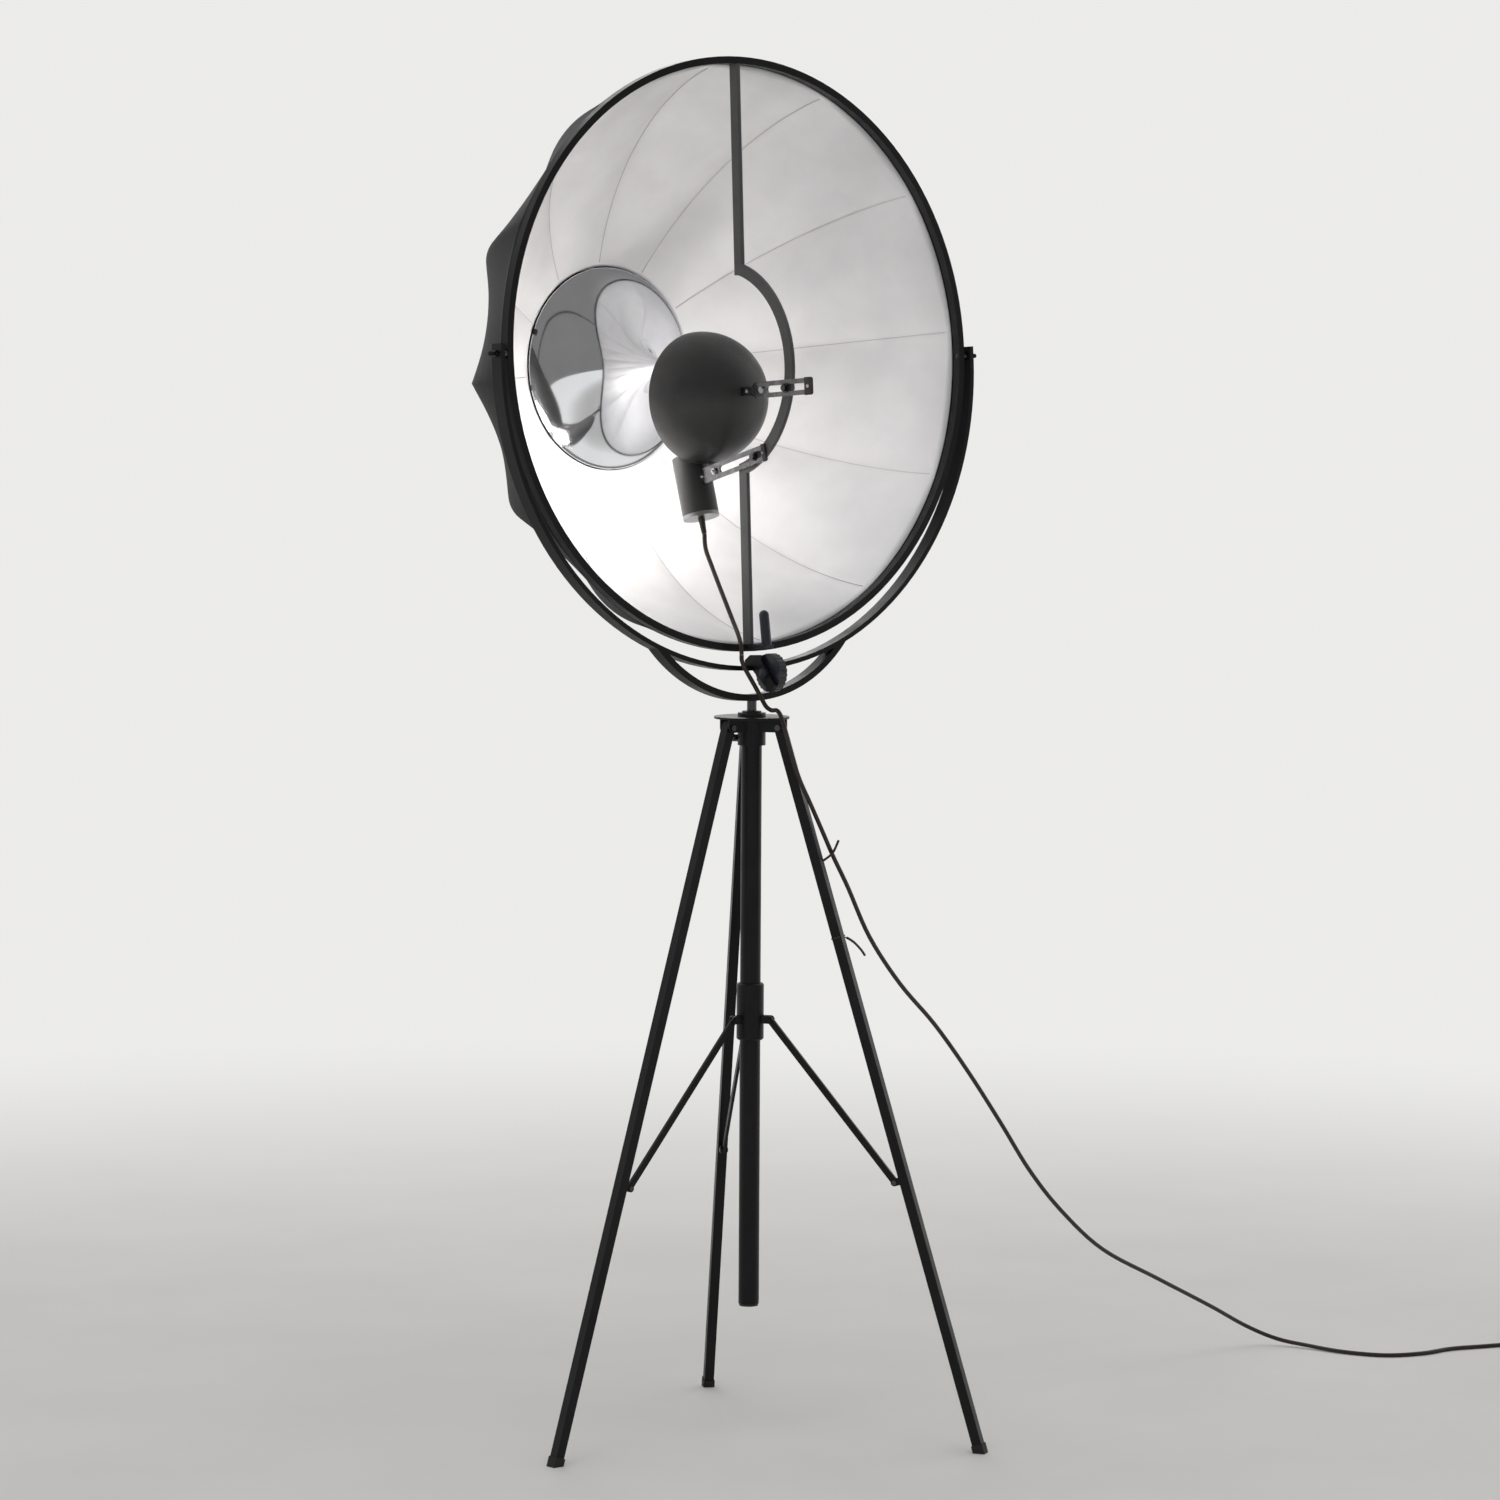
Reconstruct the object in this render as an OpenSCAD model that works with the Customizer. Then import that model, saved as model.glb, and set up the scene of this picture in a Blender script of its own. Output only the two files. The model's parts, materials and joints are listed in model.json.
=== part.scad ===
// Tripod spotlight floor lamp: a fabric dome on a hoop, held in a forked yoke,
// with a ball-shielded lamp on slotted brackets in front of a polished dish.
// Millimetres, +Z up. The origin is on the floor under the column, and the
// open face of the dome looks to -Y.

/* [Stand] */
// Height of the top plate's upper face above the floor
plate_z = 983; // [900:1:1060]
// Diameter of the top plate
plate_d = 102; // [96:1:130]
// Thickness of the top plate
plate_t = 3; // [2:0.5:6]
// Diameter of the boss under the top plate
boss_d = 38; // [34:1:44]
// Height of the boss under the top plate
boss_h = 36; // [30:1:50]
// Outer diameter of the column tube
column_d = 28; // [26:0.5:32]
// Inner diameter of the column tube
column_bore = 24; // [23:0.5:25]
// Height of the column tube's lower end above the floor
column_low = 181; // [120:1:260]
// Height of the bush's ring on top of the plate
bush_ring_h = 5; // [3:0.5:10]
// Length of the bush inside the column tube
bush_len = 43; // [40:1:60]

/* [Legs] */
// Radius of the leg hinges around the column
leg_pivot_r = 41; // [38:0.5:46]
// Depth of the leg hinges below the top plate
leg_pivot_drop = 11; // [10.8:0.1:14]
// Radius of the feet around the column
foot_r = 333; // [280:1:400]
// Width of the square leg tube
leg_w = 13.5; // [12:0.5:15]
// Wall of the square leg tube
leg_wall = 1.5; // [1:0.1:2.5]
// Length of leg above its hinge
leg_over = 8; // [7:0.5:8]
// Diameter of the leg hinge pins
leg_pin_d = 5; // [4:0.5:6]
// Thickness of the hinge ears
ear_t = 3; // [2:0.5:4]
// Side play between a leg and its hinge ears
leg_play = 0.4; // [0.3:0.1:0.8]
// Wall of the rubber foot around the leg
foot_wall = 1.25; // [1:0.25:2.5]
// Height of the rubber foot along the leg
foot_h = 12; // [8:1:24]
// Thickness of rubber under the leg's end
foot_pad = 5; // [4:0.5:8]

/* [Struts and collar] */
// Distance of the strut hinges down the leg
lug_down = 632; // [560:1:700]
// Distance of the strut hinges inward from the leg's middle line
lug_in = 14.75; // [13.5:0.25:18]
// Height of the strut hinges on the collar above the floor
collar_pin_z = 571.5; // [520:0.5:640]
// Radius of the strut hinges on the collar
collar_pin_r = 28.5; // [28:0.5:32]
// Width of the strut bar
strut_w = 9; // [7:0.5:9.5]
// Thickness of the strut bar
strut_t = 4; // [3:0.5:5]
// Diameter of the strut rivets
rivet_d = 4; // [3:0.5:5]
// Thickness of the strut lugs
lug_t = 2.2; // [1.5:0.1:3]
// Outer diameter of the collar
collar_d = 37; // [34:0.5:37.5]
// Height of the collar
collar_h = 77.5; // [60:0.5:100]
// Height of the strut hinges above the collar's lower end
collar_pin_h = 28.5; // [20:0.5:36]

/* [Mast] */
// Outer diameter of the sliding mast
mast_d = 22; // [20:0.5:22.5]
// Inner diameter of the sliding mast
mast_bore = 18; // [16:0.5:18.5]
// Length of the sliding mast
mast_len = 568; // [500:1:640]
// Diameter of the yoke's spigot
spigot_d = 13; // [11:0.5:14]
// Length of the spigot inside the mast
spigot_in = 58; // [40:1:80]
// Diameter of the wing screw
wing_screw_d = 6; // [5:0.5:7]
// Span of the wing screw's wings
wing_span = 24; // [18:1:28]

/* [Head placing] */
// Gap between the mast's cap and the yoke's cradle
yoke_lift = 12.7; // [10:0.1:40]
// Distance of the tilt axis behind the column
tilt_y = 25.5; // [20:0.5:30]
// Backward lean of yoke and head
lean = 2.6; // [0:0.1:4]

/* [Yoke] */
// Outer radius of the yoke hoop
hoop_r = 414; // [410:1:430]
// Distance of the hoop's centre below the tilt axis
hoop_drop = 12; // [8:0.5:20]
// Thickness of the yoke bar
hoop_t = 6.5; // [5:0.5:8]
// Width of the yoke bar
hoop_w = 20; // [14:1:26]
// Height of the hoop's ends above the tilt axis
hoop_over = 13; // [9:0.5:20]
// Outer radius of the cradle arc
cradle_r = 219; // [200:1:240]
// Depth of the cradle below the hoop
cradle_depth = 41; // [30:1:60]
// Thickness of the cradle arc
cradle_t = 9; // [6:0.5:12]
// Diameter of the tilt pivots
pivot_d = 6; // [5:0.5:8]
// Diameter of the tilt lock's knob
knob_d = 52; // [40:1:54]
// Thickness of the tilt lock's knob
knob_t = 12; // [8:1:18]

/* [Ring and carrier] */
// Gap between the front ring and the yoke hoop
ring_gap = 7.5; // [5.5:0.5:20]
// Radial thickness of the front ring
ring_t = 9.6; // [7:0.2:14]
// Depth of the front ring from front to back
ring_w = 12; // [10:1:20]
// Width of the carrier bar from front to back
carrier_w = 16; // [12:1:20]
// Thickness of the carrier bar
carrier_t = 5.5; // [4:0.5:8]
// Middle radius of the carrier's bow round the lamp
bow_r = 140; // [130:1:150]
// Distance of the bow's centre behind the ring's middle plane
bow_back = 40; // [30:1:50]
// Distance of the bow's centre below the tilt axis
bow_down = 19; // [10:1:30]
// Diameter of the tilt handle
handle_d = 13.5; // [10:0.5:18]
// Length of the tilt handle
handle_len = 41; // [30:1:60]

/* [Dome] */
// Number of ribs
rib_count = 12; // [8:1:16]
// Angle of the first rib from the right-hand pivot
rib_first = 5; // [0:1:20]
// Diameter of the rib wires
rib_d = 5; // [3:0.5:6]
// Radius of the hub band that closes the dome
hub_r = 140; // [120:1:160]
// Distance of the hub band's back behind the ring's middle plane
hub_back = 304; // [270:1:330]
// Depth of the hub band from front to back
hub_w = 15; // [14:1:24]
// How far the hub hangs below the ring's axis
hub_drop = 7; // [0:0.5:10]
// Bulge of the outer cover over its chord
cover_bulge = 57; // [48:1:70]
// Bulge of the inner lining over its chord
lining_bulge = 35; // [15:1:38]
// Sag of the cover between two ribs
cover_sag = 14; // [0:1:16]
// Thickness of the fabric
fabric_t = 1.2; // [1:0.1:2]
// Rise of the polished dish's wide flare, towards the lamp
dish_flare = 83; // [60:1:95]
// Rise of the dish's slender nose on top of the flare
dish_nose = 60; // [30:1:65]
// Thickness of the polished dish
dish_t = 1.5; // [1:0.1:2.5]

/* [Lamp] */
// Outer radius of the ball shell
shell_r = 90; // [80:1:92]
// Wall of the ball shell
shell_t = 1.5; // [1:0.1:3]
// Distance of the ball's centre behind the ring's middle plane
shell_back = 85; // [80:1:90]
// Distance of the ball's centre below the tilt axis
shell_down = 55; // [50:1:60]
// Depth of the shell behind the ball's centre
shell_over = 5; // [0:1:10]
// Diameter of the lamp holder tube
holder_d = 50; // [44:1:54]
// Wall of the lamp holder tube
holder_wall = 2; // [1:0.5:3]
// Length of the lamp holder tube
holder_len = 81; // [70:1:100]
// Thickness of the holder's end cap
cap_t = 5; // [3:0.5:8]
// Backward lean of the lamp holder
holder_lean = 14.3; // [5:0.1:20]
// Diameter of the bulb
bulb_d = 60; // [45:1:64]
// Diameter of the bulb's neck
neck_d = 26; // [20:1:30]
// Width of the slotted brackets
bracket_w = 22; // [18:1:26]
// Width of the narrow tab at a bracket's rear end
tab_w = 12; // [8:1:16]
// Thickness of the slotted brackets
bracket_t = 3; // [2:0.5:4]
// Width of the slots
slot_w = 9; // [8.5:0.5:10]
// Diameter of the clamp screws
clamp_d = 5; // [4:0.5:5]

/* [Lead] */
// Diameter of the mains lead
lead_d = 6; // [5:0.5:7]
// Turns of the coil of spare lead
coil_turns = 5; // [3:2:9]

/* [Clearances] */
// Radial clearance of running fits
run_fit = 0.05; // [0.01:0.01:0.1]
// Gap between pieces that move past each other
gap = 0.3; // [0.2:0.05:0.5]

/* [Hidden] */
$fn = 96;
far = 1000;
skin = 0.01;

leg_az = [180, 300, 60];
leg_pivot_z = plate_z - plate_t - leg_pivot_drop;
leg_angle = atan((foot_r - leg_pivot_r) / leg_pivot_z);
leg_len = norm([foot_r - leg_pivot_r, leg_pivot_z]);
leg_hinge_w = leg_w + 2 * leg_play + 2 * ear_t;
lug_gap = strut_t + 2 * gap;
lug_w = lug_gap + 2 * lug_t;
lug_r = 5;

lug_pin_r = leg_pivot_r + lug_down * sin(leg_angle) - lug_in * cos(leg_angle);
lug_pin_z = leg_pivot_z - lug_down * cos(leg_angle) - lug_in * sin(leg_angle);
strut_len = norm([lug_pin_r - collar_pin_r, collar_pin_z - lug_pin_z]);
strut_angle = atan((lug_pin_r - collar_pin_r) / (collar_pin_z - lug_pin_z));

column_top = plate_z - plate_t;
bush_top = plate_z + bush_ring_h;
bush_low = plate_z - bush_len;
mast_flange_t = 2;
mast_flange_d = mast_d + 4;
mast_top = bush_top + gap;
mast_low = mast_top - mast_len;
guide_flange = 14;
guide_plug = 20;
wing_z = plate_z - 30;
wing_az = 120;
spigot_low = mast_top + mast_flange_t - spigot_in;

hoop_in = hoop_r - hoop_t;
hoop_end = asin((hoop_drop + hoop_over) / hoop_r);
hoop_low = hoop_r + hoop_drop;
cradle_low = hoop_low + cradle_depth;
cradle_up = cradle_low - cradle_r;
tilt_z = mast_top + mast_flange_t + yoke_lift + cradle_low;
pivot_x = sqrt(hoop_in * hoop_in - hoop_drop * hoop_drop);
lock_t = 6;
knob_n = -36;
knob_u = -hoop_low - 3;
knob_shank_d = 8;

ring_r = hoop_in - ring_gap;
ring_in = ring_r - ring_t;
ring_back = ring_w / 2;
bow_end = sqrt(bow_r * bow_r - bow_back * bow_back);
// The tilt handle: its place before the ring, its lean and its flat foot.
handle_n = 38.5;
handle_lean = 6;
handle_foot_w = 14;
handle_foot_t = 5;
handle_seat = ring_t - 5.6;

hub_front = hub_back - hub_w;
hub_band = 3.5;
hub_plate_t = 2;

// How far the lining laps the hub band.
lining_lap = 1.5;
// Room for the faceted cloth at the hub and over the ribs.
skirt = 1.5;
rib_play = 0.8;

// Cover outline: an arc through the ring's edge and the hub's edge.
cover_c = arc_centre([ring_r, 0], [hub_r, hub_back - 3], cover_bulge);
cover_arc_r = norm([ring_r, 0] - cover_c);
cover_from = asin((ring_back + gap - cover_c[1]) / cover_arc_r);
cover_to = acos((hub_r + skirt - cover_c[0]) / cover_arc_r);
rib_arc_r = cover_arc_r - fabric_t - rib_d / 2 - rib_play;
rib_from = asin((ring_back - rib_d / 2 - cover_c[1]) / rib_arc_r);
rib_to = acos((hub_r - 2 - cover_c[0]) / rib_arc_r);
rib_spans = 14;

// Lining outline: an arc inside the ribs, from the ring's bore to the hub.
lining_a = [ring_in - 0.6, carrier_w / 2 + 2 * gap];
lining_b = [hub_r + skirt, hub_front + lining_lap];
lining_c = arc_centre(lining_a, lining_b, lining_bulge);
lining_arc_r = norm(lining_a - lining_c);
lining_from = atan2(lining_a[1] - lining_c[1], lining_a[0] - lining_c[0]);
lining_to = atan2(lining_b[1] - lining_c[1], lining_b[0] - lining_c[0]);

// The dish's outline: a wide flare and a slender nose, both powers of the way
// from its rim to its axis.
flare_power = 1.8;
nose_power = 6.9;
dish_spans = 32;
dish_rim_n = hub_front - dish_t;
clip_w = 8;
clip_t = 1;
clip_lap = 5;
clip_at = [159, 191, 221];

// The lamp holder's top, seen from the ball's centre.
holder_back = 30;
holder_down = 80;
// The block that carries the ball on the holder: width, length and height.
block = [12, 40, 14];
block_front = 14;
// The lamp socket in the holder and the bulb's neck in the socket.
socket_low = 56;
socket_h = 36;
socket_floor = 12;
neck_h = 86;
// Slotted brackets: the middle of the rear end, the length and the rise.
upper_n = 1;
upper_u = -50;
upper_len = 151;
upper_rise = 1.1;
lower_n = 103;
lower_u = -166.4;
lower_len = 158;
lower_rise = 12.5;
upper_tab = 36;
lower_tab = 10;
tab_taper = 10;
slot_start = 64;
slot_end = 12;
bracket_corner = 3;
bracket_x = carrier_t / 2 + gap;
// The clamp screws sit where the brackets cross the carrier.
upper_clamp_u = upper_u + (upper_n + bow_r - bow_back) * tan(upper_rise);
upper_clamp_n = bow_back - sqrt(pow(bow_r, 2) - pow(upper_clamp_u + bow_down, 2));
lower_clamp_n = -28;
lower_clamp_u = lower_u + (lower_n - lower_clamp_n) * tan(lower_rise);
washer_t = 1.5;
screw_head_t = 3;
nut_t = 4;

lead_r = lead_d / 2;
relief_len = 22;
tie_down = 295;
coil_pitch = lead_d + 0.6;
coil_mid = 5.5 * lead_d;
coil_out = coil_mid + coil_turns / 4 * coil_pitch;
coil_x = 1385;
coil_y = -231;
floor_lift = 0.2;
plug_neck = 24;
plug_len = 20;
plug_w = 26;
plug_pin_d = 4.8;
plug_pin_len = 20;
plug_pins_apart = 19;
tie_r = 0.9;
tie_band_h = 2.5;

lead_lamp_route = [[0, 102.4, 1225.6], [-3, 96, 1206], [-8, 76, 1182], [-14, 50, 1152],
                   [-18, 24, 1119], [-26, 0, 1097], [-30, -11, 1085],
                   [-31, -14.4, 1075.7], [-31, -15.2, 1067.7]];
lead_yoke_route = [[-31, -15.2, 1067.3], [-31, -16, 1059.3], [-25, -17, 1047], [-16, -17.5, 1034],
                   [-7, -18, 1021], [-1, -21.5, 1008], [1, -29, 997.5], [1, -39, 993.4], [1, -45, 993.4]];
lead_run_route = [[1, -45.4, 993.4], [1, -52, 993.2], [-1, -62, 987], [-1, -69, 973], [3, -72, 955],
                  [11, -73, 930], [23, -74, 900], [42, -74, 867], [60, -79, 828], [76, -82, 795],
                  [105, -80, 750], [149, -75, 679], [211, -68, 610], [283, -60, 547], [353, -52, 475],
                  [422, -45, 396], [487, -37, 320], [558, -28, 254], [653, -14, 187], [779, 0, 128],
                  [900, 12, 72], [978, 16, 33], [1024, -4, 11], [1044, -50, 5], [1056, -110, 3.4],
                  [1086, -166, 3.2], [1140, -190, 3.2], [1200, -192, 3.2], [1262, -212, 3.2],
                  [1320, -228, 3.2], [1360, -231, 3.2], [1378, -231, 3.2]];
// The tails of the two cable ties.
tie_upper_route = [[58, -83, 790], [66, -88, 797], [72, -88.5, 803], [75, -90, 810], [78, -91, 817]];
tie_lower_route = [[70, -107, 687], [80, -107, 686], [92, -108, 679], [104, -109, 668], [110, -110, 660]];

// ---------- helpers ----------

// Centre of the arc through a and b that bulges to the left of b-a reversed.
function arc_centre(a, b, bulge) =
    let (d = b - a, c = norm(d), m = (a + b) / 2, r = c * c / (8 * bulge) + bulge / 2)
    m - [d[1], -d[0]] / c * (r - bulge);

function polar(c, r, a) = [c[0] + r * cos(a), c[1] + r * sin(a)];

function mix(a, b, t) = a + (b - a) * t;

// A smooth curve through the route's points, with steps points on each span.
function spline_at(p0, p1, p2, p3, t) =
    0.5 * (2 * p1 + (p2 - p0) * t + (2 * p0 - 5 * p1 + 4 * p2 - p3) * t * t
           + (3 * p1 - p0 - 3 * p2 + p3) * t * t * t);

function smooth(route, steps) =
    let (n = len(route))
    [for (i = [0 : n - 2], k = [0 : steps - 1])
        spline_at(route[max(i - 1, 0)], route[i], route[i + 1], route[min(i + 2, n - 1)], k / steps),
     route[n - 1]];

function unit(v) = v / norm(v);

function heading(p, i) = unit(p[min(i + 1, len(p) - 1)] - p[max(i - 1, 0)]);

// Sideways vectors carried along the path without twist.
function carried(p, i = 0, u = undef, out = []) =
    i == len(p) ? out :
    let (t = heading(p, i),
         v = is_undef(u) ? (abs(t[2]) > 0.9 ? [1, 0, 0] : [0, 0, 1]) : u,
         w = unit(v - t * (v * t)))
    carried(p, i + 1, w, concat(out, [w]));

function path_length(p) = [for (i = [1 : len(p) - 1]) norm(p[i] - p[i - 1])] * [for (i = [1 : len(p) - 1]) 1];

module tube_along(p, r, sides) {
    u = carried(p);
    n = len(p);
    points = [for (i = [0 : n - 1], k = [0 : sides - 1])
        let (t = heading(p, i), w = cross(t, u[i]), a = 360 * k / sides)
        p[i] + r * (cos(a) * u[i] + sin(a) * w)];
    walls = [for (i = [0 : n - 2], k = [0 : sides - 1])
        let (a = i * sides + k, b = i * sides + (k + 1) % sides)
        each [[a, a + sides, b], [b, a + sides, b + sides]]];
    ends = [for (k = [1 : sides - 2])
        each [[0, k, k + 1], [(n - 1) * sides, (n - 1) * sides + k + 1, (n - 1) * sides + k]]];
    polyhedron(points, concat(walls, ends));
}

// A wall between two grids of points that close around the dome's axis.
module grid_shell(outer, inner) {
    rows = len(outer);
    cols = len(outer[0]);
    points = concat([for (row = outer) each row], [for (row = inner) each row]);
    far_side = rows * cols;
    walls = [for (i = [0 : rows - 2], k = [0 : cols - 1])
        let (a = i * cols + k, b = i * cols + (k + 1) % cols, c = far_side)
        each [[a, b, a + cols], [b, b + cols, a + cols],
              [c + a, c + a + cols, c + b], [c + b, c + a + cols, c + b + cols]]];
    rims = [for (k = [0 : cols - 1])
        let (a = k, b = (k + 1) % cols, z = (rows - 1) * cols, c = far_side)
        each [[a, c + a, b], [b, c + a, c + b],
              [z + a, z + b, c + z + a], [z + b, c + z + b, c + z + a]]];
    polyhedron(points, concat(walls, rims));
}

module tube(d, bore, h) {
    difference() {
        cylinder(d = d, h = h);
        translate([0, 0, -1]) cylinder(d = bore, h = h + 2);
    }
}

module along_x(x0, x1, d) {
    translate([x0, 0, 0]) rotate([0, 90, 0]) cylinder(d = d, h = x1 - x0);
}

module along_y(y0, y1, d) {
    translate([0, y1, 0]) rotate([90, 0, 0]) cylinder(d = d, h = y1 - y0);
}

// The leg's own frame: hinge at the origin, the leg running down -Z.
module at_hinge(i) {
    rotate([0, 0, leg_az[i]]) translate([leg_pivot_r, 0, leg_pivot_z]) children();
}

module on_leg(i) {
    at_hinge(i) rotate([0, -leg_angle, 0]) children();
}

// The head's frame: tilt axis along X, Y to the back of the dome, Z up the ring.
module in_head() {
    translate([0, tilt_y, tilt_z]) rotate([-lean, 0, 0]) children();
}

module below_floor() {
    translate([-far, -far, -far]) cube([2 * far, 2 * far, far]);
}

// ---------- stand ----------

module ear(i, side) {
    inner = leg_w / 2 + leg_play;
    y0 = side > 0 ? inner : -inner - ear_t;
    at_hinge(i) {
        along_y(y0, y0 + ear_t, 13);
        translate([-leg_pivot_r + boss_d / 2 - 3, y0, -6.5])
            cube([leg_pivot_r - boss_d / 2 + 3, ear_t, leg_pivot_drop + 6.5 + skin]);
        translate([-skin, y0, 0]) cube([6.5 + skin, ear_t, leg_pivot_drop + skin]);
    }
}

module crown() {
    color("#111214")
    difference() {
        union() {
            translate([0, 0, column_top]) cylinder(d = plate_d, h = plate_t);
            translate([0, 0, column_top - boss_h]) cylinder(d = boss_d, h = boss_h + skin);
            for (i = [0 : 2], side = [-1, 1]) ear(i, side);
        }
        translate([0, 0, column_top - boss_h - 1]) cylinder(d = column_d, h = boss_h + 1);
        translate([0, 0, column_top - 1]) cylinder(d = column_bore, h = plate_t + 2);
        for (i = [0 : 2]) at_hinge(i) along_y(-leg_hinge_w, leg_hinge_w, leg_pin_d);
        wing_bore();
    }
}

module wing_bore() {
    rotate([0, 0, wing_az]) translate([0, 0, wing_z])
        along_x(mast_d / 4, boss_d, wing_screw_d + 2 * run_fit);
}

module column() {
    color("#0e0f10")
    difference() {
        translate([0, 0, column_low]) tube(column_d, column_bore, column_top - column_low);
        wing_bore();
    }
}

module top_bush() {
    color("#1b1c1e")
    difference() {
        union() {
            translate([0, 0, plate_z]) cylinder(d = boss_d, h = bush_ring_h);
            translate([0, 0, bush_low]) cylinder(d = column_bore, h = bush_len + skin);
        }
        translate([0, 0, bush_low - 1]) cylinder(d = mast_d + 2 * run_fit, h = bush_len + bush_ring_h + 2);
        wing_bore();
    }
}

module column_plug() {
    color("#1b1c1e") {
        translate([0, 0, column_low - 3]) cylinder(d = column_d - 2, h = 3);
        translate([0, 0, column_low - skin]) cylinder(d = column_bore, h = 14);
    }
}

module leg_pin(i) {
    half = leg_hinge_w / 2;
    color("#2a2b2d")
    at_hinge(i) {
        along_y(-half - 1.5, half + 1.5, leg_pin_d);
        along_y(-half - 2, -half, leg_pin_d + 3);
        along_y(half, half + 2, leg_pin_d + 3);
    }
}

module wing_screw() {
    tip = mast_d / 2 + gap;
    hub = boss_d / 2 + gap;
    wing_r = wing_span / 4;
    color("#1b1c1e")
    rotate([0, 0, wing_az]) translate([0, 0, wing_z]) {
        along_x(tip, hub + 6, wing_screw_d);
        along_x(hub, hub + 7, wing_screw_d + 4);
        for (s = [-1, 1]) translate([hub + 6, s * (wing_span / 2 - wing_r), 0]) {
            translate([0, 0, -1.5]) cylinder(r = wing_r, h = 3);
            translate([-5, s > 0 ? -wing_r : 0, -1.5]) cube([7, wing_r, 3]);
        }
    }
}

// ---------- legs ----------

module leg(i) {
    color("#0e0f10")
    difference() {
        on_leg(i) {
            difference() {
                translate([-leg_w / 2, -leg_w / 2, -leg_len + foot_pad])
                    cube([leg_w, leg_w, leg_len - foot_pad + leg_over]);
                translate([-leg_w / 2 + leg_wall, -leg_w / 2 + leg_wall, -leg_len])
                    cube([leg_w - 2 * leg_wall, leg_w - 2 * leg_wall, leg_len + leg_over + 1]);
                along_y(-leg_w, leg_w, leg_pin_d + 2 * run_fit);
            }
            strut_lug();
        }
        below_floor();
    }
}

module strut_lug() {
    translate([-lug_in, 0, -lug_down])
    difference() {
        for (s = [-1, 1]) {
            y0 = s > 0 ? lug_gap / 2 : -lug_w / 2;
            along_y(y0, y0 + lug_t, 2 * lug_r);
            translate([0, y0, -lug_r]) cube([lug_in - leg_w / 2 + skin, lug_t, 2 * lug_r]);
        }
        along_y(-lug_w, lug_w, rivet_d);
    }
}

module foot(i) {
    outer = leg_w + 2 * foot_wall;
    color("#151515")
    difference() {
        on_leg(i) difference() {
            translate([-outer / 2, -outer / 2, -leg_len - outer]) cube([outer, outer, outer + foot_h]);
            translate([-leg_w / 2, -leg_w / 2, -leg_len + foot_pad]) cube([leg_w, leg_w, foot_h]);
        }
        below_floor();
    }
}

module strut_pin(i) {
    color("#2a2b2d")
    on_leg(i) translate([-lug_in, 0, -lug_down]) {
        along_y(-lug_w / 2 - 1, lug_w / 2 + 1, rivet_d);
        along_y(-lug_w / 2 - 1.2, -lug_w / 2, rivet_d + 2.5);
        along_y(lug_w / 2, lug_w / 2 + 1.2, rivet_d + 2.5);
    }
}

module strut(i) {
    color("#0e0f10")
    rotate([0, 0, leg_az[i]]) translate([lug_pin_r, 0, lug_pin_z]) rotate([0, -strut_angle, 0])
    difference() {
        union() {
            along_y(-strut_t / 2, strut_t / 2, strut_w);
            translate([0, 0, strut_len]) along_y(-strut_t / 2, strut_t / 2, strut_w);
            translate([-strut_w / 2, -strut_t / 2, 0]) cube([strut_w, strut_t, strut_len]);
        }
        along_y(-strut_t, strut_t, rivet_d + 2 * run_fit);
    }
}

module collar() {
    low = collar_pin_z - collar_pin_h;
    chamfer = 2;
    color("#101112")
    difference() {
        union() {
            translate([0, 0, low + chamfer]) cylinder(d = collar_d, h = collar_h - 2 * chamfer);
            translate([0, 0, low]) cylinder(d1 = collar_d - 2 * chamfer, d2 = collar_d, h = chamfer);
            translate([0, 0, low + collar_h - chamfer])
                cylinder(d1 = collar_d, d2 = collar_d - 2 * chamfer, h = chamfer);
            for (i = [0 : 2], s = [-1, 1]) collar_ear(i, s);
        }
        translate([0, 0, low - 1]) cylinder(d = column_d + 2 * run_fit, h = collar_h + 2);
    }
}

module collar_ear(i, side) {
    y0 = side > 0 ? lug_gap / 2 : -lug_w / 2;
    rotate([0, 0, leg_az[i]]) translate([collar_pin_r, 0, collar_pin_z]) {
        along_y(y0, y0 + lug_t, 2 * lug_r + 1);
        translate([-collar_pin_r + column_d / 2 + 1, y0, -lug_r - 0.5])
            cube([collar_pin_r - column_d / 2 - 1, lug_t, 2 * lug_r + 1]);
        along_y(side > 0 ? y0 : y0 - 1.2, side > 0 ? y0 + lug_t + 1.2 : y0 + lug_t, rivet_d + 2.5);
    }
}

// ---------- mast ----------

module mast() {
    color("#161719") translate([0, 0, mast_low]) tube(mast_d, mast_bore, mast_len);
}

module mast_cap() {
    depth = spigot_in + 2;
    color("#1b1c1e")
    difference() {
        union() {
            translate([0, 0, mast_top]) cylinder(d = mast_flange_d, h = mast_flange_t);
            translate([0, 0, mast_top + mast_flange_t - depth]) cylinder(d = mast_bore, h = depth - skin);
        }
        translate([0, 0, mast_top - depth - 1]) cylinder(d = spigot_d + 2 * run_fit, h = depth + 5);
    }
}

module mast_guide() {
    color("#1b1c1e") {
        translate([0, 0, mast_low - guide_flange]) cylinder(d = column_bore - 2 * run_fit, h = guide_flange);
        translate([0, 0, mast_low - skin]) cylinder(d = mast_bore, h = guide_plug);
    }
}

// ---------- yoke ----------

module hoop_bar(r, w) {
    rotate([90, 0, 0]) rotate([0, 0, 180 - hoop_end]) rotate_extrude(angle = 180 + 2 * hoop_end)
        translate([r - hoop_t, -w / 2]) square([hoop_t, w]);
}

module yoke_hoop() {
    color("#101112")
    in_head() difference() {
        translate([0, 0, -hoop_drop]) hoop_bar(hoop_r, hoop_w);
        along_x(-hoop_r - 10, hoop_r + 10, pivot_d);
    }
}

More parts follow.
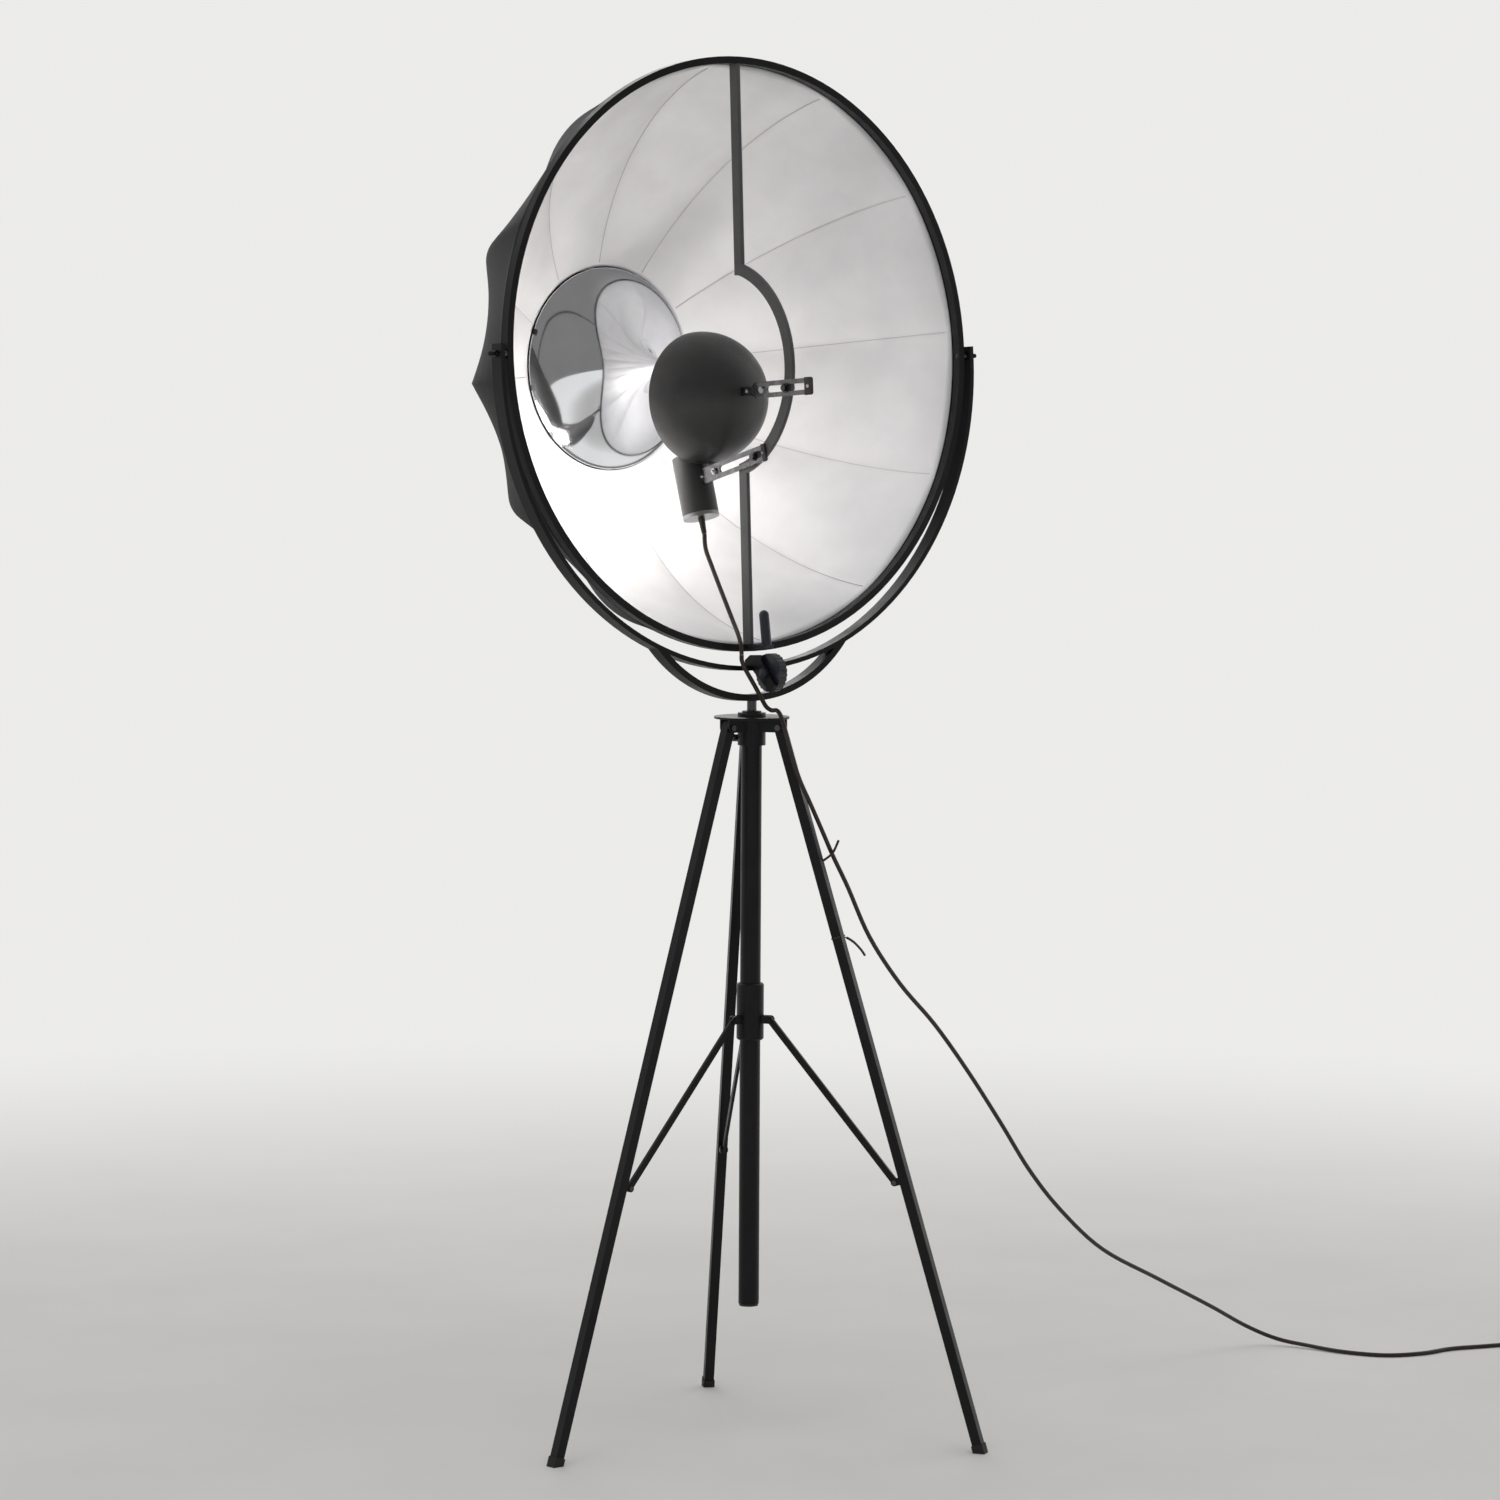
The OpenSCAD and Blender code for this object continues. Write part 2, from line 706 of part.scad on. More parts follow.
module cradle_disc(r, w) {
    translate([0, 0, -cradle_up]) along_y(-w / 2, w / 2, 2 * r);
}

module cradle() {
    color("#101112")
    in_head() difference() {
        cradle_disc(cradle_r, hoop_w);
        cradle_disc(cradle_r - cradle_t, hoop_w + 2);
        translate([0, 0, -hoop_drop]) along_y(-hoop_w, hoop_w, 2 * hoop_r);
    }
}

module spigot() {
    color("#1b1c1e")
    difference() {
        translate([0, 0, spigot_low]) cylinder(d = spigot_d, h = tilt_z - cradle_low + 10 - spigot_low);
        in_head() cradle_disc(cradle_r, 4 * hoop_w);
    }
}

module lock_plate() {
    low = hoop_low;
    color("#14181a")
    in_head() difference() {
        translate([-lock_t / 2, 0, 0]) rotate([90, 0, 90]) linear_extrude(height = lock_t)
            polygon([[5, -low + hoop_t - skin], [5, -low + 14], [-6, -low + 21], [-24, -low + 21],
                     [-56, -low - 20], [-47, -low - 30], [-10 - skin, -low + 1]]);
        translate([0, 0, -hoop_drop]) rotate([90, 0, 0]) difference() {
            translate([0, 0, -hoop_w / 2]) cylinder(r = hoop_r, h = hoop_w);
            translate([0, 0, -hoop_w]) cylinder(r = hoop_in, h = 2 * hoop_w);
        }
        translate([0, knob_n, knob_u]) along_x(-lock_t, lock_t, knob_shank_d + 2 * run_fit);
    }
}

module lock_knob() {
    x0 = lock_t / 2 + gap;
    grooves = 24;
    color("#181a24")
    in_head() translate([0, knob_n, knob_u]) {
        difference() {
            along_x(x0, x0 + knob_t, knob_d);
            for (k = [0 : grooves - 1]) rotate([k * 360 / grooves, 0, 0])
                translate([0, knob_d / 2 + 1, 0]) along_x(x0 - 1, x0 + knob_t + 1, 4);
        }
        along_x(-x0 - 1, x0 + 1, knob_shank_d);
        along_x(-x0 - 4, -x0, knob_shank_d + 6);
    }
}

module pivot(side) {
    color("#1b1c1e")
    in_head() difference() {
        mirror([side > 0 ? 0 : 1, 0, 0]) {
            along_x(ring_in + 0.5, hoop_r + 1, pivot_d);
            along_x(ring_r + gap, pivot_x + 2, 2 * pivot_d);
            along_x(pivot_x + 2, hoop_r + 4, pivot_d + 3);
        }
        difference() {
            translate([0, 0, -hoop_drop]) hoop_bar(hoop_r, hoop_w);
            along_x(-hoop_r - 10, hoop_r + 10, pivot_d);
        }
    }
}

// ---------- ring, carrier and dome ----------

module ring() {
    color("#0f1011")
    in_head() difference() {
        rotate([90, 0, 0]) rotate_extrude($fn = 180)
            translate([ring_in, -ring_w / 2]) square([ring_t, ring_w]);
        along_x(-ring_r - 10, ring_r + 10, pivot_d + 2 * run_fit);
    }
}

module carrier() {
    color("#3a3b3d")
    in_head() difference() {
        intersection() {
            union() {
                translate([-carrier_t / 2, -carrier_w / 2, bow_end - bow_down - carrier_w / 2])
                    cube([carrier_t, carrier_w, ring_r]);
                translate([-carrier_t / 2, -carrier_w / 2, -ring_r])
                    cube([carrier_t, carrier_w, ring_r - bow_end - bow_down]);
                translate([0, bow_back, -bow_down]) difference() {
                    along_x(-carrier_t / 2, carrier_t / 2, 2 * bow_r + carrier_w);
                    along_x(-carrier_t, carrier_t, 2 * bow_r - carrier_w);
                    translate([-far, -bow_back + carrier_w / 2, -far]) cube([2 * far, far, 2 * far]);
                }
            }
            rotate([90, 0, 0]) cylinder(r = ring_in, h = 4 * bow_r, center = true, $fn = 180);
        }
        translate([0, upper_clamp_n, upper_clamp_u]) along_x(-carrier_t, carrier_t, clamp_d);
        translate([0, lower_clamp_n, lower_clamp_u]) along_x(-carrier_t, carrier_t, clamp_d);
    }
}

// How far the dome hangs below the ring's axis at a depth n.
function drop_at(n) = hub_drop * min(n / hub_front, 1);

// A point of the dome, at a radius and an angle round its axis and a depth.
function dome_point(r, phi, n) = [r * cos(phi), n, r * sin(phi) - drop_at(n)];

function rib_path(phi) =
    [for (i = [0 : rib_spans])
        let (q = polar(cover_c, rib_arc_r, mix(rib_from, rib_to, i / rib_spans)))
        dome_point(q[0], phi, q[1])];

module ribs() {
    color("#161616")
    in_head() difference() {
        for (k = [0 : rib_count - 1]) tube_along(rib_path(rib_first + k * 360 / rib_count), rib_d / 2, 8);
        along_y(-ring_back, ring_back, 4 * ring_r);
        in_hub() along_y(0, 2 * hub_back, 2 * hub_r);
    }
}

module in_hub() {
    translate([0, 0, -hub_drop]) children();
}

module hub() {
    color("#121212")
    in_head() in_hub() difference() {
        along_y(hub_front, hub_back, 2 * hub_r);
        along_y(hub_front - 1, hub_back - hub_plate_t, 2 * (hub_r - hub_band));
    }
}

// A dome surface: rows run from ring to hub along an arc, columns go round.
function dome_row(c, r, a, flat, sag, per_gore) =
    let (p = polar(c, r, a), count = rib_count * per_gore)
    [for (j = [0 : count - 1])
        let (f = (j % per_gore) / per_gore,
             half = 180 / rib_count,
             w = (2 * f - 1) * half,
             chord = cos(half) / cos(w),
             q = p[0] * mix(1, chord, flat) - sag * 4 * f * (1 - f),
             phi = rib_first + 360 * j / count)
        dome_point(q, phi, p[1])];

module dome_skin(c, r, from, to, sag, rows, per_gore) {
    sides = [for (rad = [r, r - fabric_t])
        [for (i = [0 : rows])
            let (t = i / rows, bow = sin(180 * t))
            dome_row(c, rad, mix(from, to, t), pow(bow, 0.5), sag * bow, per_gore)]];
    grid_shell(sides[0], sides[1]);
}

module cover() {
    color("#0d0d0e") in_head() dome_skin(cover_c, cover_arc_r, cover_from, cover_to, cover_sag, 12, 4);
}

module lining() {
    color("#f2f0ee") in_head() dome_skin(lining_c, lining_arc_r, lining_from, lining_to, 0, 8, 4);
}

// The dish's rise over its rim and its steepness, at a way t from rim to axis.
function dish_rise(t) = dish_flare * pow(t, flare_power) + dish_nose * pow(t, nose_power);

function dish_steep(t) =
    (dish_flare * flare_power * pow(t, flare_power - 1)
     + dish_nose * nose_power * pow(t, nose_power - 1)) / hub_r;

module dish() {
    way = [for (i = [0 : dish_spans]) i / dish_spans];
    front = [for (t = way) [hub_r * (1 - t), dish_rise(t)]];
    back = [for (t = way) [hub_r * (1 - t), dish_rise(t) - dish_t * norm([1, dish_steep(t)])]];
    color("#b8babd")
    in_head() in_hub() translate([0, dish_rim_n, 0]) rotate([90, 0, 0])
        rotate_extrude() polygon(concat(front, [for (i = [dish_spans : -1 : 0]) back[i]]));
}

// Clips over the dish's rim, on the side of the hub band.
module dish_clips() {
    color("#19191a")
    in_head() in_hub() for (a = clip_at) rotate([0, -a, 0]) {
        translate([hub_r - clip_lap, dish_rim_n - clip_t - gap, -clip_w / 2])
            cube([clip_lap + clip_t, clip_t, clip_w]);
        translate([hub_r, dish_rim_n - gap - skin, -clip_w / 2]) cube([clip_t, dish_t + 1.5 * gap, clip_w]);
    }
}

module tilt_handle() {
    color("#1a1d1d")
    in_head() {
        translate([-handle_foot_w / 2, -handle_n - handle_d / 2, -ring_r + handle_seat])
            cube([handle_foot_w, handle_n + handle_d / 2 - ring_back, handle_foot_t]);
        translate([0, -handle_n, -ring_r + handle_seat + handle_foot_t - 1]) rotate([-handle_lean, 0, 0]) {
            cylinder(d = handle_d, h = handle_len);
            translate([0, 0, handle_len]) sphere(d = handle_d);
        }
    }
}

// ---------- lamp ----------

module on_upper() {
    in_head() translate([0, upper_n, upper_u]) rotate([-upper_rise, 0, 0]) children();
}

module on_lower() {
    in_head() translate([0, lower_n, lower_u]) rotate([-lower_rise, 0, 0]) children();
}

// A flat bar forward from its narrow rear tab, with a slot.
module slotted_bar(size, tab, slot_from, slot_to) {
    x0 = -bracket_x - bracket_t;
    side = [[0, tab_w / 2], [tab_taper - tab, tab_w / 2], [-tab, bracket_w / 2],
            [bracket_corner - size, bracket_w / 2], [-size, bracket_w / 2 - bracket_corner]];
    difference() {
        translate([x0, 0, 0]) rotate([90, 0, 90]) linear_extrude(height = bracket_t)
            polygon(concat(side, [for (i = [len(side) - 1 : -1 : 0]) [side[i][0], -side[i][1]]]));
        translate([x0 - 1, -slot_to, -slot_w / 2]) cube([bracket_t + 2, slot_to - slot_from, slot_w]);
        for (s = [slot_from, slot_to]) translate([0, -s, 0]) along_x(x0 - 1, x0 + bracket_t + 1, slot_w);
    }
}

module upper_bracket() {
    color("#c9cbce")
    difference() {
        on_upper() slotted_bar(upper_len, upper_tab, slot_start, upper_len - slot_end);
        in_head() ball(shell_r);
    }
}

module lower_bracket() {
    color("#c9cbce")
    difference() {
        on_lower() slotted_bar(lower_len, lower_tab, slot_start, lower_len - slot_end);
        on_holder() translate([0, 0, -2 * holder_len]) cylinder(d = holder_d, h = 3 * holder_len);
        in_head() ball(shell_r);
    }
}

// A screw through the carrier and a slot: head on the bracket, nut behind.
module clamp_screw() {
    out = bracket_x + bracket_t + gap;
    along_x(-out - 1, carrier_t / 2 + 1, clamp_d);
    along_x(-out - washer_t, -out, slot_w + 4);
    along_x(-out - washer_t - screw_head_t, -out - washer_t + 0.1, clamp_d + 4);
    translate([carrier_t / 2, 0, 0]) rotate([0, 90, 0]) cylinder(d = clamp_d + 5, h = nut_t, $fn = 6);
}

module upper_clamp() {
    color("#2b2c2e") in_head() translate([0, upper_clamp_n, upper_clamp_u]) clamp_screw();
}

module lower_clamp() {
    color("#2b2c2e") in_head() translate([0, lower_clamp_n, lower_clamp_u]) clamp_screw();
}

module ball(r) {
    translate([0, shell_back, -shell_down]) sphere(r = r);
}

// The ball's front part, up to the shell's rim.
module half_ball() {
    difference() {
        ball(shell_r);
        translate([-far, shell_back + shell_over, -far]) cube(2 * far);
    }
}

module shell() {
    color("#17181a")
    in_head() difference() {
        ball(shell_r);
        ball(shell_r - shell_t);
        translate([-far, shell_back + shell_over, -far]) cube(2 * far);
    }
}

// The holder's frame: top of the tube at the origin, the tube running down -Z.
module on_holder() {
    in_head() translate([0, shell_back + holder_back, -shell_down - holder_down])
        rotate([-holder_lean, 0, 0]) children();
}

module shell_foot() {
    color("#17181a")
    difference() {
        in_head() translate([-carrier_t / 2, shell_back - block_front, -shell_down - shell_r - block[2] / 2])
            cube(block);
        in_head() ball(shell_r);
        on_holder() translate([0, 0, -2 * holder_len]) cylinder(d = holder_d, h = 3 * holder_len);
        in_head() translate([-far, shell_back + 4, -far]) cube(2 * far);
    }
}

module holder() {
    color("#17181a")
    difference() {
        on_holder() translate([0, 0, -holder_len]) tube(holder_d, holder_d - 2 * holder_wall, holder_len);
        in_head() half_ball();
    }
}

module holder_cap() {
    color("#6d6e70")
    on_holder() translate([0, 0, -holder_len - cap_t]) difference() {
        union() {
            cylinder(d = holder_d, h = cap_t);
            cylinder(d = holder_d - 2 * holder_wall, h = cap_t + 6);
        }
        translate([0, 0, -1]) cylinder(d = lead_d + 4, h = cap_t + 8);
    }
}

module socket() {
    color("#dcd9d0")
    on_holder() translate([0, 0, -socket_low]) difference() {
        cylinder(d = holder_d - 2 * holder_wall, h = socket_h);
        translate([0, 0, socket_floor]) cylinder(d = neck_d, h = socket_h);
    }
}

module bulb() {
    color("#fff4dc")
    on_holder() translate([0, 0, socket_floor - socket_low]) {
        cylinder(d = neck_d, h = neck_h);
        translate([0, 0, neck_h + bulb_d / 3]) sphere(d = bulb_d);
    }
}

module strain_relief() {
    color("#18130f")
    on_holder() translate([0, 0, -holder_len - cap_t - relief_len])
        cylinder(d1 = lead_d + 0.6, d2 = lead_d + 4, h = relief_len + cap_t);
}

// ---------- mains lead ----------

module lead_lamp() {
    color("#17110d") tube_along(smooth(lead_lamp_route, 1), lead_r, 8);
}

module lead_yoke() {
    color("#17110d") tube_along(smooth(lead_yoke_route, 1), lead_r, 8);
}

module lead_run() {
    color("#17110d") tube_along(smooth(lead_run_route, 2), lead_r, 8);
}

// Radius of the coil after t turns: in from the outside, then out again.
function coil_radius(t) = coil_out - coil_pitch * min(t, coil_turns - t);
function coil_height(t) =
    lead_r + floor_lift + coil_pitch * min(1, max(0, (t - coil_turns / 2) * 2 + 0.5));
function coil_point(t) =
    [coil_x + coil_radius(t) * sin(360 * t),
     coil_y + coil_out - coil_radius(t) * cos(360 * t),
     coil_height(t)];

coil_rings = 24 * coil_turns;
coil_path = concat([[coil_x - lead_d, coil_y, lead_r + floor_lift]],
                   [for (i = [0 : coil_rings]) coil_point(i / 24)],
                   [[coil_x + 3 * lead_d, coil_y, lead_r + floor_lift + coil_pitch]]);
coil_gap = min([for (i = [0 : coil_rings - 12], k = [i + 12 : coil_rings])
    norm(coil_point(i / 24) - coil_point(k / 24))]) - lead_d;
echo(coil_gap = coil_gap, coil_length = path_length(coil_path),
     free_length = path_length(smooth(lead_lamp_route, 1)) + path_length(smooth(lead_yoke_route, 1))
                   + path_length(smooth(lead_run_route, 2)));

module lead_coil() {
    color("#17110d") tube_along(coil_path, lead_r, 6);
}

module plug() {
    x0 = coil_x + 3 * lead_d;
    z0 = lead_r + floor_lift + coil_pitch;
    color("#151311") translate([x0, coil_y, z0]) {
        along_x(0, plug_neck - 6, lead_d + 1);
        hull() {
            along_x(plug_neck - 9, plug_neck - 7, 2 * lead_d);
            translate([plug_neck, -plug_w / 2, floor_lift - z0])
                cube([plug_len, plug_w, 2 * (z0 - floor_lift)]);
        }
        for (s = [-1, 1]) translate([plug_neck + plug_len, s * plug_pins_apart / 2, 0])
            along_x(-1, plug_pin_len - 1, plug_pin_d);
    }
}

module tie_upper() {
    color("#17110d") tube_along(tie_upper_route, tie_r, 8);
}

module tie_lower() {
    band = leg_w + 2 * tie_r - 0.2;
    color("#17110d") {
        on_leg(1) difference() {
            translate([-band / 2, -band / 2, -tie_down]) cube([band, band, tie_band_h]);
            translate([-leg_w / 2, -leg_w / 2, -tie_down - 1]) cube([leg_w, leg_w, tie_band_h + 2]);
        }
        tube_along(tie_lower_route, tie_r, 8);
    }
}

crown();
column();
top_bush();
column_plug();
leg_pin(0);  // leg_pin_1
leg_pin(1);  // leg_pin_2
leg_pin(2);  // leg_pin_3
wing_screw();
leg(0);  // leg_1
leg(1);  // leg_2
leg(2);  // leg_3
foot(0);  // foot_1
foot(1);  // foot_2
foot(2);  // foot_3
strut_pin(0);  // strut_pin_1
strut_pin(1);  // strut_pin_2
strut_pin(2);  // strut_pin_3
strut(0);  // strut_1
strut(1);  // strut_2
strut(2);  // strut_3
collar();
mast();
mast_cap();
mast_guide();
yoke_hoop();
cradle();
spigot();
lock_plate();
lock_knob();
pivot(-1);  // pivot_left
pivot(1);  // pivot_right
ring();
carrier();
ribs();
hub();
cover();
lining();
dish();
dish_clips();
tilt_handle();
upper_clamp();
lower_clamp();
shell();
shell_foot();
holder();
holder_cap();
socket();
bulb();
upper_bracket();
lower_bracket();
strain_relief();
lead_lamp();
lead_yoke();
lead_run();
lead_coil();
plug();
tie_upper();
tie_lower();
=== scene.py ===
"""Tripod spotlight floor lamp: finishes, fabric dome and mains lead. Metres, +Z up."""
import json
import math

import bpy
import numpy as np
from mathutils import Matrix, Vector


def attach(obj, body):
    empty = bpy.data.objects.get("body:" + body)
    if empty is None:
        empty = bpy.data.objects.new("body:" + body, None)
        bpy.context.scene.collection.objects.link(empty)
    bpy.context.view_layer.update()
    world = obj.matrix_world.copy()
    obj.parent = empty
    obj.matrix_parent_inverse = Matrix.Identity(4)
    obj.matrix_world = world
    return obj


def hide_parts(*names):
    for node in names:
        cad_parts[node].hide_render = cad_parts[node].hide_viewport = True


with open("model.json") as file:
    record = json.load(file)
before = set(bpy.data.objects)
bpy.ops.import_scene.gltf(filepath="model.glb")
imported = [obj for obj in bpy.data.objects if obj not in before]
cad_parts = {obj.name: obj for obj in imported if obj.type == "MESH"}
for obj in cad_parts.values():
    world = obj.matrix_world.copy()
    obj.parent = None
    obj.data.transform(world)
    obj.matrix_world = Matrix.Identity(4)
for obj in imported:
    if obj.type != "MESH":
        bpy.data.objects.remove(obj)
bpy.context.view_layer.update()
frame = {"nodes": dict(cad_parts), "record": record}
nodes = frame["nodes"]
scene = bpy.context.scene

# ---------- sizes, as in the CAD source ----------
TILT_AXIS = Vector((0, 0.0255, 1.470))
LEAN = math.radians(2.6)
RING_R, RING_T, RING_W = 0.400, 0.0096, 0.012
HUB_R, HUB_BACK, HUB_W, HUB_DROP = 0.140, 0.304, 0.015, 0.007
RIB_COUNT, RIB_FIRST = 12, math.radians(5)
COVER_BULGE, COVER_SAG = 0.057, 0.014
SKIRT, LINING_LAP = 0.0015, 0.0015
FABRIC_T = 0.0012
DISH_FLARE, DISH_NOSE, DISH_T = 0.083, 0.060, 0.0015
HOOP_R = 0.414
UPPER_BRACKET = {"n": 0.001, "u": -0.050, "length": 0.151, "rise": math.radians(1.1)}
LOWER_BRACKET = {"n": 0.103, "u": -0.1664, "length": 0.158, "rise": math.radians(12.5)}
BRACKET_X, BRACKET_T, BRACKET_W = 0.00305, 0.003, 0.022
LEAD_D = 0.006
COIL_X, COIL_Y, COIL_TURNS = 1.385, -0.231, 5
COIL_GAP = 0.0006    # between neighbouring turns
LEAD_HEIGHT = 0.0032    # of the lead's middle where it lies on the floor

# ---------- sizes that only this script has ----------
LINING_BULGE, LINING_SAG = 0.049, 0.016    # fuller than the source's lining, as its seams show
SEAM_R = 0.0006
TIE_R = 0.0017
BINDING_R, BINDING_OUT = 0.0011, 0.0014    # the cover's corded edge, and its middle's way off the hub
VIEW_AZIMUTH = math.radians(-39.92)
PALE = (0.84, 0.835, 0.825)    # the surroundings
LAMP_COLOUR = (1.0, 0.965, 0.93)

# ---------- routes of the ties and the lead, as in the CAD source, in millimetres ----------
TIE_UPPER = [(58, -83, 790), (66, -88, 797), (72, -88.5, 803), (75, -90, 810), (78, -91, 817)]
TIE_LOWER = [(70, -107, 687), (80, -107, 686), (92, -108, 679), (104, -109, 668), (110, -110, 660)]
LEAD_LAMP = [(0, 102.4, 1225.6), (-3, 96, 1206), (-8, 76, 1182), (-14, 50, 1152), (-18, 24, 1119),
             (-26, 0, 1097), (-30, -11, 1085), (-31, -14.4, 1075.7), (-31, -15.2, 1067.7)]
LEAD_YOKE = [(-31, -15.2, 1067.3), (-31, -16, 1059.3), (-25, -17, 1047), (-16, -17.5, 1034),
             (-7, -18, 1021), (-1, -21.5, 1008), (1, -29, 997.5), (1, -39, 993.4), (1, -45, 993.4)]
LEAD_RUN = [(1, -45.4, 993.4), (1, -52, 993.2), (-1, -62, 987), (-1, -69, 973), (3, -72, 955),
            (11, -73, 930), (23, -74, 900), (42, -74, 867), (60, -79, 828), (76, -82, 795),
            (105, -80, 750), (149, -75, 679), (211, -68, 610), (283, -60, 547), (353, -52, 475),
            (422, -45, 396), (487, -37, 320), (558, -28, 254), (653, -14, 187), (779, 0, 128),
            (900, 12, 72), (978, 16, 33), (1024, -4, 11), (1044, -50, 5), (1056, -110, 3.4),
            (1086, -166, 3.2), (1140, -190, 3.2), (1200, -192, 3.2), (1262, -212, 3.2),
            (1320, -228, 3.2), (1360, -231, 3.2), (1378, -231, 3.2)]


# ---------- camera, at the photograph's place ----------
def make_camera():
    distance, height = 7.008, 1.4725
    pitch, roll = math.radians(4.369), math.radians(0.305)
    towards = Vector((math.sin(VIEW_AZIMUTH), -math.cos(VIEW_AZIMUTH), 0))
    back = towards * math.cos(pitch) + Vector((0, 0, math.sin(pitch)))
    level = Vector((math.cos(VIEW_AZIMUTH), math.sin(VIEW_AZIMUTH), 0))
    rise = back.cross(level)
    right = level * math.cos(roll) + rise * math.sin(roll)
    up = rise * math.cos(roll) - level * math.sin(roll)
    data = bpy.data.cameras.new("camera")
    data.sensor_fit = "HORIZONTAL"
    data.sensor_width = 36
    data.lens = 124.735
    data.shift_x = -0.00104
    camera = bpy.data.objects.new("camera", data)
    place = towards * distance + Vector((0, 0, height))
    turn = Matrix((right, up, back)).transposed().to_4x4()
    camera.matrix_world = Matrix.Translation(place) @ turn
    scene.collection.objects.link(camera)
    scene.camera = camera


# ---------- small helpers ----------
def smooth_route(route, steps):
    """A Catmull-Rom curve through the route's points, given in millimetres."""
    p = [Vector(q) / 1000 for q in route]
    out = []
    for i in range(len(p) - 1):
        a, b, c, d = p[max(i - 1, 0)], p[i], p[i + 1], p[min(i + 2, len(p) - 1)]
        for k in range(steps):
            t = k / steps
            out.append(0.5 * (2 * b + (c - a) * t + (2 * a - 5 * b + 4 * c - d) * t * t
                              + (3 * b - a - 3 * c + d) * t ** 3))
    return out + [p[-1]]


def curve_piece(name, points, radius, material, sides=5):
    data = bpy.data.curves.new(name, "CURVE")
    data.dimensions = "3D"
    data.bevel_depth = radius
    data.bevel_resolution = sides
    data.use_fill_caps = True
    spline = data.splines.new("POLY")
    spline.points.add(len(points) - 1)
    for point, q in zip(spline.points, points):
        point.co = (*q, 1)
    spline.use_smooth = True
    piece = bpy.data.objects.new(name, data)
    piece.data.materials.append(material)
    scene.collection.objects.link(piece)
    return piece


def mesh_piece(name, points, faces, material, smooth=True):
    data = bpy.data.meshes.new(name)
    data.from_pydata([tuple(p) for p in points], [], faces)
    data.update()
    if smooth:
        data.shade_smooth()
    data.materials.append(material)
    piece = bpy.data.objects.new(name, data)
    scene.collection.objects.link(piece)
    return piece


def in_head(x, n, u):
    """A point of the head's own frame (right, back, up the ring) in the row frame."""
    back = Vector((0, math.cos(LEAN), -math.sin(LEAN)))
    up = Vector((0, math.sin(LEAN), math.cos(LEAN)))
    return TILT_AXIS + Vector((x, 0, 0)) + back * n + up * u


# ---------- materials ----------
def new_material(name):
    material = bpy.data.materials.new(name)
    material.use_nodes = True
    tree = material.node_tree
    return material, tree, tree.nodes["Principled BSDF"]


def noise_node(tree, scale, detail=4, stretch=(1, 1, 1)):
    coord = tree.nodes.new("ShaderNodeTexCoord")
    mapping = tree.nodes.new("ShaderNodeMapping")
    mapping.inputs["Scale"].default_value = stretch
    noise = tree.nodes.new("ShaderNodeTexNoise")
    noise.inputs["Scale"].default_value = scale
    noise.inputs["Detail"].default_value = detail
    tree.links.new(coord.outputs["Object"], mapping.inputs["Vector"])
    tree.links.new(mapping.outputs["Vector"], noise.inputs["Vector"])
    return noise


def ramp_to(tree, factor, low, high, target, start=0.3, end=0.7):
    """Maps a 0-1 factor to a colour or a grey between low and high."""
    ramp = tree.nodes.new("ShaderNodeValToRGB")
    ramp.color_ramp.elements[0].position = start
    ramp.color_ramp.elements[1].position = end
    for element, value in zip(ramp.color_ramp.elements, (low, high)):
        rgb = value if isinstance(value, tuple) else (value, value, value)
        element.color = (*rgb, 1)
    tree.links.new(factor, ramp.inputs["Fac"])
    tree.links.new(ramp.outputs["Color"], target)


def bump_from(tree, height, shader, strength, distance):
    bump = tree.nodes.new("ShaderNodeBump")
    bump.inputs["Strength"].default_value = strength
    bump.inputs["Distance"].default_value = distance
    tree.links.new(height, bump.inputs["Height"])
    tree.links.new(bump.outputs["Normal"], shader.inputs["Normal"])


def painted(name, low, high, rough_low, rough_high, grain=900, bump=0.12, gloss=0.2):
    """Powder coat or enamel: fine orange peel with slow changes of tone and gloss."""
    material, tree, shader = new_material(name)
    ramp_to(tree, noise_node(tree, 9).outputs["Fac"], low, high, shader.inputs["Base Color"])
    ramp_to(tree, noise_node(tree, 40).outputs["Fac"], rough_low, rough_high, shader.inputs["Roughness"])
    bump_from(tree, noise_node(tree, grain, 2).outputs["Fac"], shader, bump, 0.0004)
    shader.inputs["Specular IOR Level"].default_value = gloss
    return material


def bright_metal(name, low, high, rough_low, rough_high, stretch=(1, 1, 1), scale=60):
    """Plated or polished metal with faint streaks in its gloss."""
    material, tree, shader = new_material(name)
    streaks = noise_node(tree, scale, 6, stretch)
    ramp_to(tree, streaks.outputs["Fac"], low, high, shader.inputs["Base Color"])
    ramp_to(tree, streaks.outputs["Fac"], rough_low, rough_high, shader.inputs["Roughness"])
    bump_from(tree, streaks.outputs["Fac"], shader, 0.04, 0.0002)
    shader.inputs["Metallic"].default_value = 1
    return material


